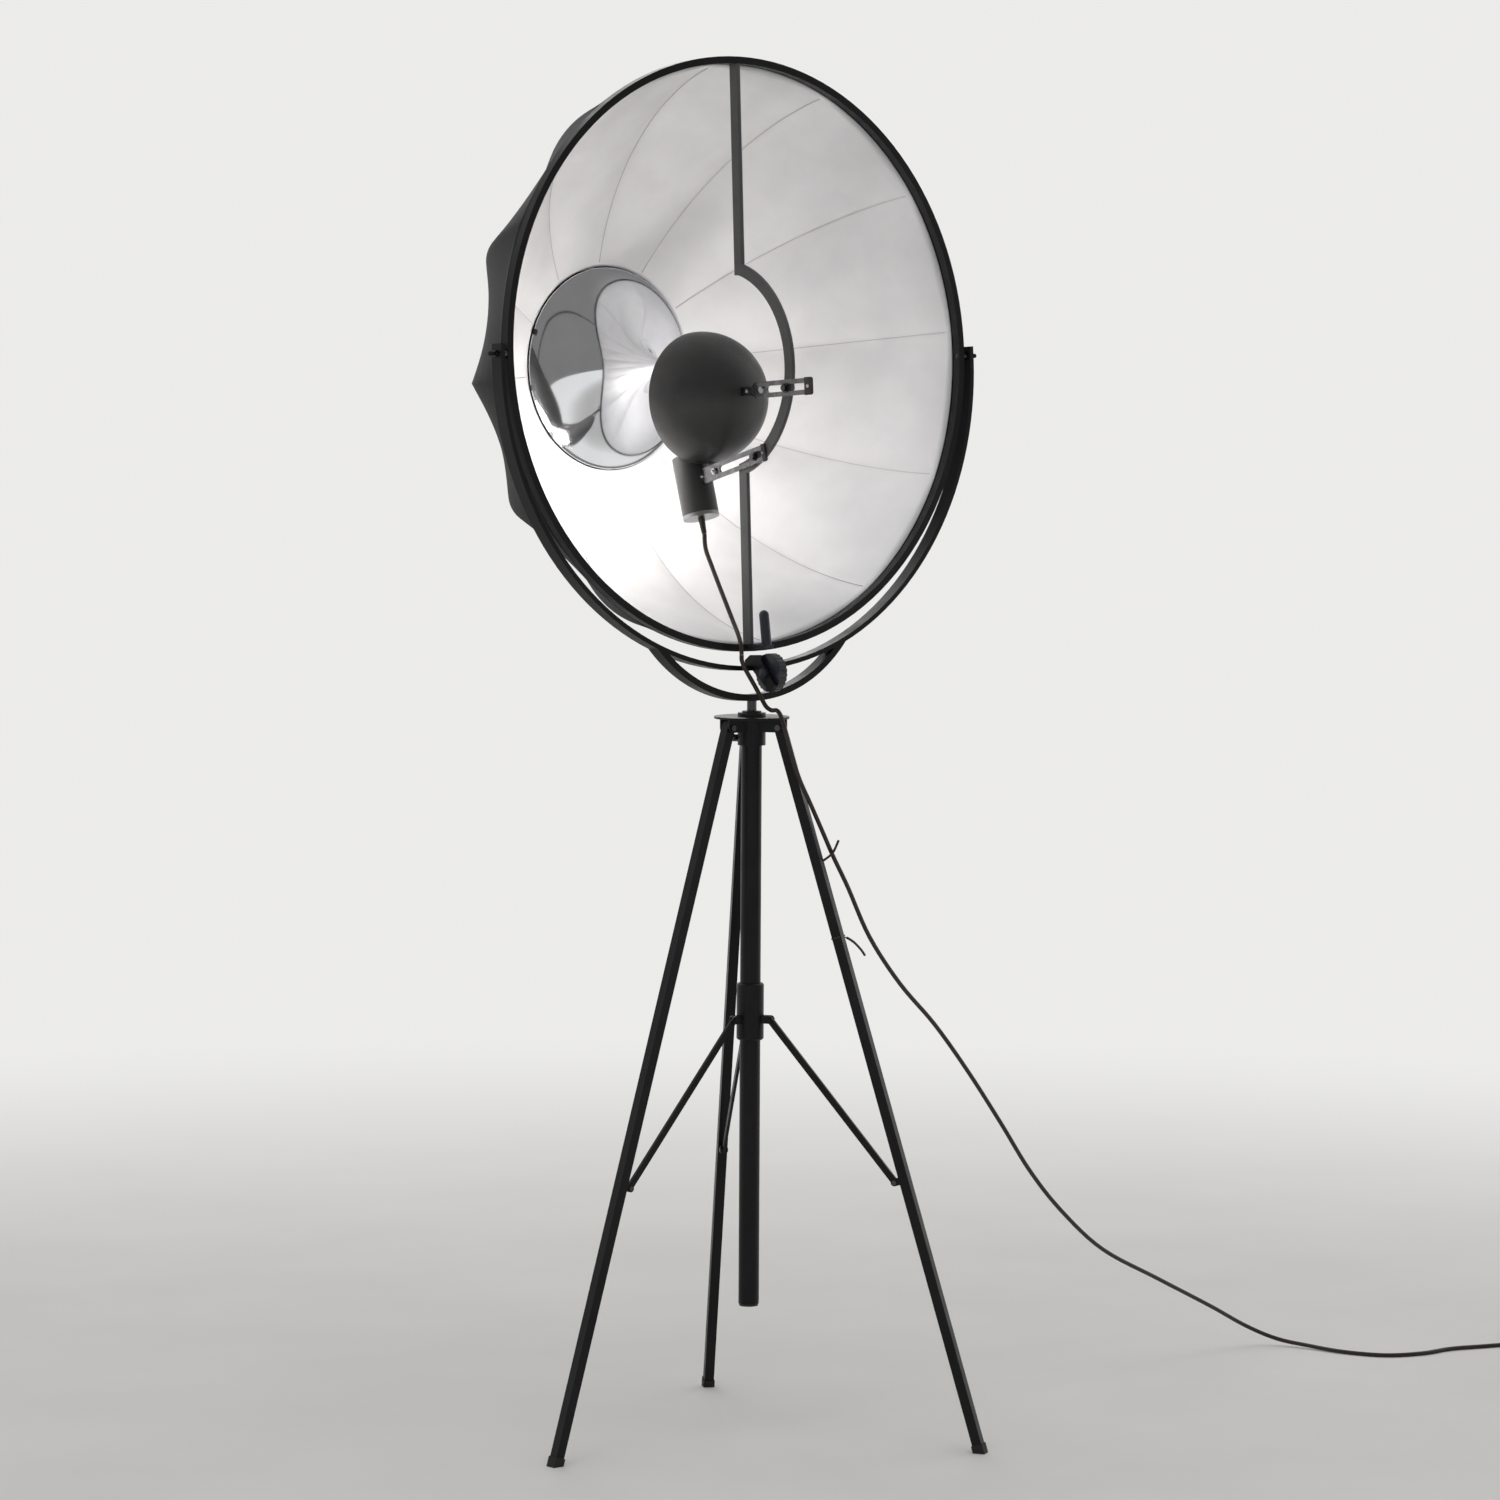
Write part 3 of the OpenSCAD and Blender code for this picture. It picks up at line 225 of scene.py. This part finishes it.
def woven(name, low, high, thread, sheen, through=0.0):
    """Plain-weave cloth: two crossed thread waves, slow tone changes and a soft sheen."""
    material, tree, shader = new_material(name)
    ramp_to(tree, noise_node(tree, 14, 5).outputs["Fac"], low, high, shader.inputs["Base Color"])
    coord = tree.nodes.new("ShaderNodeTexCoord")
    waves = []
    for direction in ("X", "Z"):
        wave = tree.nodes.new("ShaderNodeTexWave")
        wave.bands_direction = direction
        wave.inputs["Scale"].default_value = thread
        wave.inputs["Distortion"].default_value = 0.6
        tree.links.new(coord.outputs["Object"], wave.inputs["Vector"])
        waves.append(wave)
    weave = tree.nodes.new("ShaderNodeMath")
    weave.operation = "MULTIPLY"
    tree.links.new(waves[0].outputs["Fac"], weave.inputs[0])
    tree.links.new(waves[1].outputs["Fac"], weave.inputs[1])
    bump_from(tree, weave.outputs[0], shader, 0.25, 0.0003)
    shader.inputs["Roughness"].default_value = 0.85
    shader.inputs["Sheen Weight"].default_value = sheen
    shader.inputs["Sheen Roughness"].default_value = 0.5
    shader.inputs["Subsurface Weight"].default_value = through
    return material


def moulded(name, low, high, rough, grain=700, coat=0.0):
    """Moulded plastic or rubber with a fine pebble grain."""
    material, tree, shader = new_material(name)
    ramp_to(tree, noise_node(tree, 20).outputs["Fac"], low, high, shader.inputs["Base Color"])
    ramp_to(tree, noise_node(tree, 120).outputs["Fac"], rough - 0.06, rough + 0.06, shader.inputs["Roughness"])
    bump_from(tree, noise_node(tree, grain, 2).outputs["Fac"], shader, 0.15, 0.0003)
    shader.inputs["Coat Weight"].default_value = coat
    return material


def lit_glass(name):
    """Opal bulb glass, faintly uneven and lit from inside."""
    material, tree, shader = new_material(name)
    glow = noise_node(tree, 25)
    ramp_to(tree, glow.outputs["Fac"], (0.95, 0.9, 0.82), (1.0, 0.97, 0.92), shader.inputs["Base Color"])
    ramp_to(tree, glow.outputs["Fac"], 0.12, 0.2, shader.inputs["Roughness"])
    shader.inputs["Emission Color"].default_value = (*LAMP_COLOUR, 1)
    shader.inputs["Emission Strength"].default_value = 20
    shader.inputs["Coat Weight"].default_value = 0.3
    return material


FINISHES = {
    "satin_black": painted("satin_black", (0.006, 0.006, 0.007), (0.011, 0.011, 0.012), 0.32, 0.44),
    "dark_steel": bright_metal("dark_steel", (0.06, 0.06, 0.065), (0.12, 0.12, 0.125), 0.25, 0.4),
    "black_plastic": moulded("black_plastic", (0.014, 0.014, 0.015), (0.022, 0.022, 0.023), 0.45),
    "foot_rubber": moulded("foot_rubber", (0.010, 0.010, 0.010), (0.02, 0.02, 0.02), 0.75, grain=500),
    "carrier_grey": painted("carrier_grey", (0.078, 0.078, 0.080), (0.100, 0.100, 0.102), 0.38, 0.5),
    "frame_black": painted("frame_black", (0.008, 0.008, 0.008), (0.013, 0.013, 0.013), 0.45, 0.6),
    "cover_black": woven("cover_black", (0.006, 0.006, 0.007), (0.011, 0.011, 0.012), thread=900, sheen=0.06),
    "lining_white": woven("lining_white", (0.80, 0.785, 0.79), (0.88, 0.865, 0.87), thread=1100, sheen=0.2,
                          through=0.05),
    "dish_mirror": bright_metal("dish_mirror", (0.80, 0.81, 0.84), (0.88, 0.89, 0.91), 0.04, 0.10, scale=18),
    "knob_plastic": moulded("knob_plastic", (0.010, 0.011, 0.018), (0.018, 0.020, 0.032), 0.4, grain=500,
                            coat=0.2),
    "shell_black": painted("shell_black", (0.020, 0.020, 0.020), (0.030, 0.030, 0.030), 0.36, 0.46,
                           grain=1200, bump=0.2, gloss=0.5),
    "screw_steel": bright_metal("screw_steel", (0.45, 0.45, 0.46), (0.6, 0.6, 0.61), 0.2, 0.32),
    "tip_rubber": moulded("tip_rubber", (0.012, 0.012, 0.012), (0.02, 0.02, 0.02), 0.55, grain=600),
    "cap_grey": bright_metal("cap_grey", (0.25, 0.25, 0.26), (0.38, 0.38, 0.39), 0.3, 0.42),
    "socket_plastic": moulded("socket_plastic", (0.68, 0.66, 0.6), (0.76, 0.74, 0.68), 0.3, grain=300, coat=0.3),
    "bulb_glass": lit_glass("bulb_glass"),
    "bracket_chrome": bright_metal("bracket_chrome", (0.11, 0.11, 0.115), (0.19, 0.19, 0.195), 0.2, 0.34,
                                   stretch=(6, 1, 1)),
    "lead_rubber": moulded("lead_rubber", (0.018, 0.011, 0.008), (0.030, 0.020, 0.014), 0.5, grain=900),
}
SEAMS = {
    "cover": woven("cover_seam", (0.006, 0.006, 0.007), (0.012, 0.012, 0.012), thread=1500, sheen=0.2),
    "lining": woven("lining_seam", (0.56, 0.54, 0.55), (0.66, 0.64, 0.65), thread=1500, sheen=0.1),
}
SLOT_OF = {part["node"]: part["material_slot"] for part in frame["record"]["subparts"]}


def dress_nodes():
    for name, piece in nodes.items():
        piece.data.materials.clear()
        piece.data.materials.append(FINISHES[SLOT_OF[name]])


# ---------- mains lead ----------
def coil_points(steps):
    """The coil winds in for half its turns, climbs onto them and winds out again."""
    pitch = LEAD_D + COIL_GAP
    outer = 5.5 * LEAD_D + COIL_TURNS / 4 * pitch
    points = []
    for i in range(int(COIL_TURNS * steps) + 1):
        t = i / steps
        radius = outer - pitch * min(t, COIL_TURNS - t)
        climb = min(1, max(0, (t - COIL_TURNS / 2) * 2 + 0.5))
        turn = 2 * math.pi * t
        points.append(Vector((COIL_X + radius * math.sin(turn), COIL_Y + outer - radius * math.cos(turn),
                              LEAD_HEIGHT + pitch * climb)))
    return points + [Vector((COIL_X + 3 * LEAD_D, COIL_Y, LEAD_HEIGHT + pitch))]


def make_ties():
    """Thick tails for the two cable ties; the upper one belongs to the lead."""
    rubber = FINISHES["lead_rubber"]
    upper = tube_mesh("tie_upper_strap", [smooth_route(TIE_UPPER, 5)], TIE_R, 10, rubber)
    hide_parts("tie_upper")
    lower = tube_mesh("tie_lower_tail", [smooth_route(TIE_LOWER[1:], 5)], TIE_R, 10, rubber)
    for piece, body in ((upper, "stand"), (lower, "leg_2")):
        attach(piece, body)
    return upper


def make_leads():
    rubber = FINISHES["lead_rubber"]
    stretches = {"lead_lamp": ("lamp", LEAD_LAMP), "lead_yoke": ("yoke", LEAD_YOKE)}
    for name, (body, route) in stretches.items():
        points = smooth_route(route, 6)
        piece = curve_piece(name + "_sheath", points, LEAD_D / 2, rubber)
        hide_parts(name)
        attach(piece, body)
    points = smooth_route(LEAD_RUN, 6) + coil_points(36)
    piece = curve_piece("lead_stand_sheath", points, LEAD_D / 2, rubber)
    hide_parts("lead_run", "lead_coil")
    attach(piece, "stand")
    make_ties()


# ---------- fabric dome ----------
def arc_centre(a, b, bulge):
    """Centre and radius of the arc from a to b that stands out from their chord by bulge."""
    d = (b[0] - a[0], b[1] - a[1])
    c = math.hypot(*d)
    r = c * c / (8 * bulge) + bulge / 2
    return ((a[0] + b[0]) / 2 - d[1] / c * (r - bulge), (a[1] + b[1]) / 2 + d[0] / c * (r - bulge)), r


def dome_point(r, phi, n):
    """A point of the dome: its axis hangs a little below the ring's, towards the hub."""
    drop = HUB_DROP * min(n / (HUB_BACK - HUB_W), 1)
    return in_head(r * math.cos(phi), n, r * math.sin(phi) - drop)


def dome_arc(a, b, bulge, from_n, to_r, count):
    """Radius and depth along the dome's outline, from the ring to the hub."""
    centre, radius = arc_centre(a, b, bulge)
    start = math.asin((from_n - centre[1]) / radius)
    end = math.acos((to_r - centre[0]) / radius)
    return [(centre[0] + radius * math.cos(x), centre[1] + radius * math.sin(x))
            for x in np.linspace(start, end, count)]


def dome_cloth(node, outline, sag, pucker, material):
    """Twelve gores stretched over the ribs: the cloth pulls in between them and puckers at the seams."""
    rows, per_gore = len(outline) - 1, 20
    cols = RIB_COUNT * per_gore
    rng = np.random.default_rng(7)
    phase = rng.uniform(0, 2 * math.pi, (RIB_COUNT, 3))
    half = math.pi / RIB_COUNT
    points = []
    for i, (r0, n0) in enumerate(outline):
        t = i / rows
        bow = math.sin(math.pi * t)
        for j in range(cols):
            f, gore = (j % per_gore) / per_gore, j // per_gore
            chord = math.cos(half) / math.cos((2 * f - 1) * half)
            dip = 4 * f * (1 - f)
            near = math.exp(-min(f, 1 - f) * per_gore / 2.5) - math.exp(-0.5 * per_gore / 2.5)
            ripple = pucker * bow * (near * math.sin(74 * t + phase[gore][0]) * (f > 0)
                                     + 1.6 * dip * math.sin(7 * t + phase[gore][1] + 3 * f)
                                     + 0.7 * dip * math.sin(17 * t * f + phase[gore][2]))
            r = r0 * (1 + (chord - 1) * math.sqrt(bow)) - sag * bow * dip + ripple
            points.append(dome_point(r, RIB_FIRST + 2 * math.pi * j / cols, n0))
    faces = []
    for i in range(rows):
        for j in range(cols):
            a0, a1 = i * cols + j, i * cols + (j + 1) % cols
            faces.append((a0, a1, a1 + cols, a0 + cols))
    piece = mesh_piece(node + "_cloth", points, faces, material)
    thick = piece.modifiers.new("thickness", "SOLIDIFY")
    thick.thickness = FABRIC_T
    thick.offset = -1
    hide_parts(node)
    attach(piece, "head")
    return piece


def tube_mesh(name, paths, radius, sides, material):
    """Round cords along several paths, in one mesh."""
    points, faces = [], []
    for path in paths:
        base = len(points)
        for i, p in enumerate(path):
            ahead = (path[min(i + 1, len(path) - 1)] - path[max(i - 1, 0)]).normalized()
            side = ahead.cross(TILT_AXIS - p).normalized()
            top = side.cross(ahead)
            for k in range(sides):
                a = 2 * math.pi * k / sides
                points.append(p + (side * math.cos(a) + top * math.sin(a)) * radius)
        for i in range(len(path) - 1):
            for k in range(sides):
                a, b = base + i * sides + k, base + i * sides + (k + 1) % sides
                faces.append((a, b, b + sides, a + sides))
        faces.append(tuple(base + k for k in range(sides))[::-1])
        faces.append(tuple(base + (len(path) - 1) * sides + k for k in range(sides)))
    return mesh_piece(name, points, faces, material)


def seam_welts(name, outline, inset, radius, material):
    """The stitched welts where two gores meet, one over each rib."""
    paths = []
    for k in range(RIB_COUNT):
        phi = RIB_FIRST + 2 * math.pi * k / RIB_COUNT
        paths.append([dome_point(r - inset, phi, n) for r, n in outline[1:-1]])
    piece = tube_mesh(name, paths, radius, 6, material)
    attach(piece, "head")
    return piece


def edge_binding(n):
    """The corded edge of the cover, drawn tight round the hub."""
    steps, sides, r = 120, 8, HUB_R + BINDING_OUT
    points, faces = [], []
    for i in range(steps):
        a = 2 * math.pi * i / steps
        here, ahead = sides * i, sides * ((i + 1) % steps)
        for k in range(sides):
            b, m = 2 * math.pi * k / sides, (k + 1) % sides
            points.append(dome_point(r + BINDING_R * math.cos(b), a, n + BINDING_R * math.sin(b)))
            faces.append((here + k, here + m, ahead + m, ahead + k))
    piece = mesh_piece("cover_binding", points, faces, SEAMS["cover"])
    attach(piece, "head")


def make_dome():
    rows = 49
    cover_n, lining_n = RING_W / 2 + 0.0003, 0.0086
    hem_r, hem_n = HUB_R + SKIRT, HUB_BACK - 0.003
    cover = dome_arc((RING_R, 0), (HUB_R, hem_n), COVER_BULGE, cover_n, hem_r, rows)
    lining = dome_arc((RING_R - RING_T - 0.0006, lining_n), (hem_r, HUB_BACK - HUB_W + LINING_LAP),
                      LINING_BULGE, lining_n, hem_r, rows)
    for node, outline, sag, pucker, inset, slot in (
            ("cover", cover, COVER_SAG, 0.0005, -0.0001, "cover_black"),
            ("lining", lining, LINING_SAG, 0.0003, FABRIC_T + 0.0001, "lining_white")):
        welts = seam_welts(node + "_seams", outline, inset, SEAM_R, SEAMS[node])
        piece = dome_cloth(node, outline, sag, pucker, FINISHES[slot])
        if node == "cover":
            edge_binding(cover[-1][1])


def make_dish():
    """The polished dish: a wide flare with a slender nose towards the lamp."""
    rows, cols = 120, 192

    def rise(t):
        return DISH_FLARE * t ** 1.8 + DISH_NOSE * t ** 6.9

    def steep(t):
        return (DISH_FLARE * 1.8 * t ** 0.8 + DISH_NOSE * 6.9 * t ** 5.9) / HUB_R

    rim = HUB_BACK - HUB_W - DISH_T
    way = [i / rows for i in range(rows)]
    outline = [(HUB_R * (1 - t), rim - rise(t)) for t in way]
    outline += [(HUB_R * (1 - t), rim - rise(t) + DISH_T * math.hypot(1, steep(t))) for t in reversed(way)]
    points = [in_head(r * math.cos(2 * math.pi * j / cols), n, r * math.sin(2 * math.pi * j / cols) - HUB_DROP)
              for r, n in outline for j in range(cols)]
    faces = []
    for i in range(len(outline)):
        if i == rows - 1:    # the front and the back each close at a tip of their own
            continue
        a, b = i * cols, (i + 1) % len(outline) * cols
        for j in range(cols):
            k = (j + 1) % cols
            faces.append((a + j, a + k, b + k, b + j))
    for r, i in ((0, rows - 1), (1, rows)):
        tip = len(points)
        n = rim - rise(1) + r * DISH_T * math.hypot(1, steep(1))
        points.append(in_head(0, n, -HUB_DROP))
        for j in range(cols):
            k = (j + 1) % cols
            edge = (i * cols + j, i * cols + k)
            faces.append((*edge, tip) if r == 0 else (*edge[::-1], tip))
    piece = mesh_piece("dish_spinning", points, faces, FINISHES["dish_mirror"])
    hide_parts("dish")
    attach(piece, "head")


# ---------- screws, tips and edges ----------
def turned(name, outlines, body, material):
    """Turned or hexagonal pieces, each (base, axis, sides, [(radius, height), ...]), in one mesh."""
    points, faces = [], []
    for base, axis, sides, outline in outlines:
        axis = axis.normalized()
        side = axis.orthogonal().normalized()
        other = axis.cross(side)
        first = len(points)
        for r, h in outline:
            for k in range(sides):
                a = 2 * math.pi * k / sides
                points.append(base + axis * h + (side * math.cos(a) + other * math.sin(a)) * r)
        for i in range(len(outline) - 1):
            for k in range(sides):
                a, b = first + i * sides + k, first + i * sides + (k + 1) % sides
                faces.append((a, b, b + sides, a + sides))
        faces.append(tuple(first + k for k in range(sides))[::-1])
        faces.append(tuple(first + (len(outline) - 1) * sides + k for k in range(sides)))
    piece = mesh_piece(name, points, faces, material, smooth=False)
    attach(piece, body)


def pan_head(r):
    """Outline of a pan head with a washer under it."""
    return [(r * 1.35, 0), (r * 1.35, r * 0.2), (r, r * 0.2), (r, r * 0.6),
            (r * 0.8, r * 0.85), (r * 0.35, r * 0.95)]


def nut(r):
    """Outline of a hexagonal nut."""
    return [(r, 0), (r, r * 0.65), (r * 0.9, r * 0.75)]


def on_bracket(bracket, along, across=0, out=0):
    """A point on the bracket's outer face, at a way forward from its rear end."""
    c, s = math.cos(bracket["rise"]), math.sin(bracket["rise"])
    return in_head(-BRACKET_X - BRACKET_T - out, bracket["n"] - along * c + across * s,
                   bracket["u"] + along * s + across * c)


def make_screws():
    """Screws and nuts of the slotted brackets, and the screws in the tilt pivots."""
    outward, sunk = Vector((-1, 0, 0)), -0.0001
    stud = [(0.0023, 0), (0.0023, 0.0022), (0.0018, 0.0026)]
    pin = [(0.0028, 0), (0.0028, 0.004), (0.0021, 0.0046), (0.0021, 0.0066), (0.003, 0.007),
           (0.003, 0.0096), (0.0024, 0.0102)]
    heads, nuts = [], []
    for bracket, screws, nut_at in ((UPPER_BRACKET, ((0.017, 0.0024), (0.1445, 0.0024)), 0.050),
                                    (LOWER_BRACKET, ((0.020, 0.0024), (0.1534, 0.0015)), 0.049)):
        for along, radius in screws:
            heads.append((on_bracket(bracket, along, out=sunk), outward, 24, pan_head(radius)))
        nuts.append((on_bracket(bracket, nut_at, out=sunk), outward, 6, nut(0.0048)))
        nuts.append((on_bracket(bracket, nut_at, out=0.003), outward, 20, stud))
    turned("bracket_screws", heads, "lamp", FINISHES["screw_steel"])
    turned("bracket_nuts", nuts, "lamp", FINISHES["screw_steel"])
    pins = [(in_head(side * (HOOP_R + 0.002), 0, 0), Vector((side, 0, 0)), 20, pin) for side in (-1, 1)]
    turned("pivot_screws", pins, "yoke", FINISHES["satin_black"])


def bracket_tip(name, bracket, length):
    """A moulded cap over a bracket's front end, flush with the bracket's inner face."""
    lip, corner = 0.0009, 0.0034
    half = BRACKET_W / 2 + lip
    end = bracket["length"] + lip
    outline = [(end - length, -half), (end - corner, -half)]
    outline += [(end - corner + corner * math.sin(a), -half + corner - corner * math.cos(a))
                for a in np.linspace(math.pi / 8, math.pi / 2, 4)]
    outline += [(x, -y) for x, y in reversed(outline)]
    points = [on_bracket(bracket, x, y, out) for out in (-BRACKET_T, lip) for x, y in outline]
    count = len(outline)
    faces = [tuple(range(count))[::-1], tuple(range(count, 2 * count))]
    faces += [(i, (i + 1) % count, count + (i + 1) % count, count + i) for i in range(count)]
    piece = mesh_piece(name, points, faces, FINISHES["tip_rubber"], smooth=False)
    edge = piece.modifiers.new("edge", "BEVEL")
    edge.width = 0.0005
    edge.segments = 2
    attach(piece, "lamp")


def soften(names, width):
    """Small rounded edges on flat steel parts."""
    for name in names:
        weld = nodes[name].modifiers.new("weld", "WELD")
        weld.merge_threshold = 0.00001
        edge = nodes[name].modifiers.new("edge", "BEVEL")
        edge.width = width
        edge.segments = 2
        edge.limit_method = "ANGLE"
        edge.angle_limit = math.radians(50)
        edge.harden_normals = True


# ---------- floor and light ----------
def seen_ray(tree, mirrored=None):
    """1 for the eye's rays; rays that metal or glass sends on count too, by the share mirrored."""
    rays = tree.nodes.new("ShaderNodeLightPath")
    bounced = tree.nodes.new("ShaderNodeMath")
    bounced.operation = "MAXIMUM"
    tree.links.new(rays.outputs["Is Glossy Ray"], bounced.inputs[0])
    tree.links.new(rays.outputs["Is Transmission Ray"], bounced.inputs[1])
    total = tree.nodes.new("ShaderNodeMath")
    total.operation, total.use_clamp = "MULTIPLY_ADD", True
    tree.links.new(bounced.outputs[0], total.inputs[0])
    if mirrored is None:
        total.inputs[1].default_value = 1
    else:
        tree.links.new(mirrored, total.inputs[1])
    tree.links.new(rays.outputs["Is Camera Ray"], total.inputs[2])
    return total.outputs[0]


def ranged(tree, value, low, high):
    """0 at low, 1 at high and smooth between them."""
    node = tree.nodes.new("ShaderNodeMapRange")
    node.interpolation_type = "SMOOTHSTEP"
    tree.links.new(value, node.inputs["Value"])
    node.inputs["From Min"].default_value, node.inputs["From Max"].default_value = low, high
    return node.outputs["Result"]


def make_stage():
    """A wide pale floor that keeps the shadow and fades into the pale surroundings."""
    material, tree, shader = new_material("floor")
    ramp_to(tree, noise_node(tree, 3).outputs["Fac"], (0.80, 0.79, 0.77), (0.84, 0.83, 0.81),
            shader.inputs["Base Color"])
    shader.inputs["Roughness"].default_value = 0.8
    place = tree.nodes.new("ShaderNodeTexCoord")
    reach = tree.nodes.new("ShaderNodeVectorMath")
    reach.operation = "LENGTH"
    tree.links.new(place.outputs["Object"], reach.inputs[0])
    far = ranged(tree, reach.outputs["Value"], 1.3, 4.2)    # metres from the lamp
    amount = tree.nodes.new("ShaderNodeMath")
    amount.operation = "MULTIPLY"
    tree.links.new(far, amount.inputs[0])
    tree.links.new(seen_ray(tree), amount.inputs[1])
    glow = tree.nodes.new("ShaderNodeEmission")
    glow.inputs["Color"].default_value = (*PALE, 1)
    mix = tree.nodes.new("ShaderNodeMixShader")
    tree.links.new(amount.outputs[0], mix.inputs[0])
    tree.links.new(shader.outputs[0], mix.inputs[1])
    tree.links.new(glow.outputs[0], mix.inputs[2])
    tree.links.new(mix.outputs[0], tree.nodes["Material Output"].inputs["Surface"])
    steps, radius = 48, 30
    angles = [2 * math.pi * i / steps for i in range(steps)]
    points = [(0, 0, 0)] + [(radius * math.cos(a), radius * math.sin(a), 0) for a in angles]
    faces = [(0, 1 + i, 1 + (i + 1) % steps) for i in range(steps)]
    mesh_piece("studio_floor", points, faces, material)


def area_light(name, place, target, size, power):
    data = bpy.data.lights.new(name, "AREA")
    data.shape = "SQUARE"
    data.size = size
    data.energy = power
    light = bpy.data.objects.new(name, data)
    light.location = place
    light.rotation_euler = (Vector(target) - Vector(place)).to_track_quat("-Z", "Y").to_euler()
    scene.collection.objects.link(light)
    return light


def dish_glow():
    """What the dish throws back on the lining while the lamp is lit; it moves with the head."""
    data = bpy.data.lights.new("dish_glow", "POINT")
    data.energy, data.shadow_soft_size = 0.95, 0.02
    data.color = LAMP_COLOUR
    light = bpy.data.objects.new("dish_glow", data)
    light.location = in_head(-0.075, 0.155, -0.135)
    light.visible_glossy = False
    light.visible_camera = False
    light.parent = bpy.data.objects["dish_spinning"]
    scene.collection.objects.link(light)


def make_lights():
    """Soft lamps and a dim even world; what is seen or mirrored behind the lamp is pale."""
    dim, pale = 0.25, 1.0
    world = bpy.data.worlds.new("studio")
    world.use_nodes = True
    tree = world.node_tree
    background = tree.nodes["Background"]
    background.inputs["Color"].default_value = (*PALE, 1)
    place = tree.nodes.new("ShaderNodeTexCoord")
    facing = tree.nodes.new("ShaderNodeVectorMath")
    facing.operation = "DOT_PRODUCT"
    tree.links.new(place.outputs["Generated"], facing.inputs[0])
    facing.inputs[1].default_value = (-math.sin(VIEW_AZIMUTH), math.cos(VIEW_AZIMUTH), 0.2)
    behind = ranged(tree, facing.outputs["Value"], -0.15, 0.45)
    strength = tree.nodes.new("ShaderNodeMath")
    strength.operation = "MULTIPLY_ADD"
    tree.links.new(seen_ray(tree, behind), strength.inputs[0])
    strength.inputs[1].default_value, strength.inputs[2].default_value = pale - dim, dim
    tree.links.new(strength.outputs[0], background.inputs["Strength"])
    scene.world = world
    area_light("softbox_top", (-0.3, -0.4, 5.4), (0, 0, 0.4), 5.0, 116).visible_glossy = False
    area_light("softbox_left", (-5.0, -2.2, 0.9), (0, 0, 1.4), 2.6, 46).visible_glossy = False
    area_light("softbox_right", (4.6, 0.4, 2.8), (0, 0, 1.0), 3.4, 20)
    dish_glow()
    area_light("softbox_back", (1.6, 3.2, 3.0), (0, 0, 1.3), 2.4, 30)


scene.view_settings.view_transform = "Standard"
make_camera()
make_leads()
dress_nodes()
make_dome()
make_dish()
make_screws()
bracket_tip("upper_tip", UPPER_BRACKET, 0.0145)
bracket_tip("lower_tip", LOWER_BRACKET, 0.0074)
soften(["carrier", "lock_plate", "crown", "upper_bracket", "lower_bracket"], 0.0004)
make_stage()
make_lights()
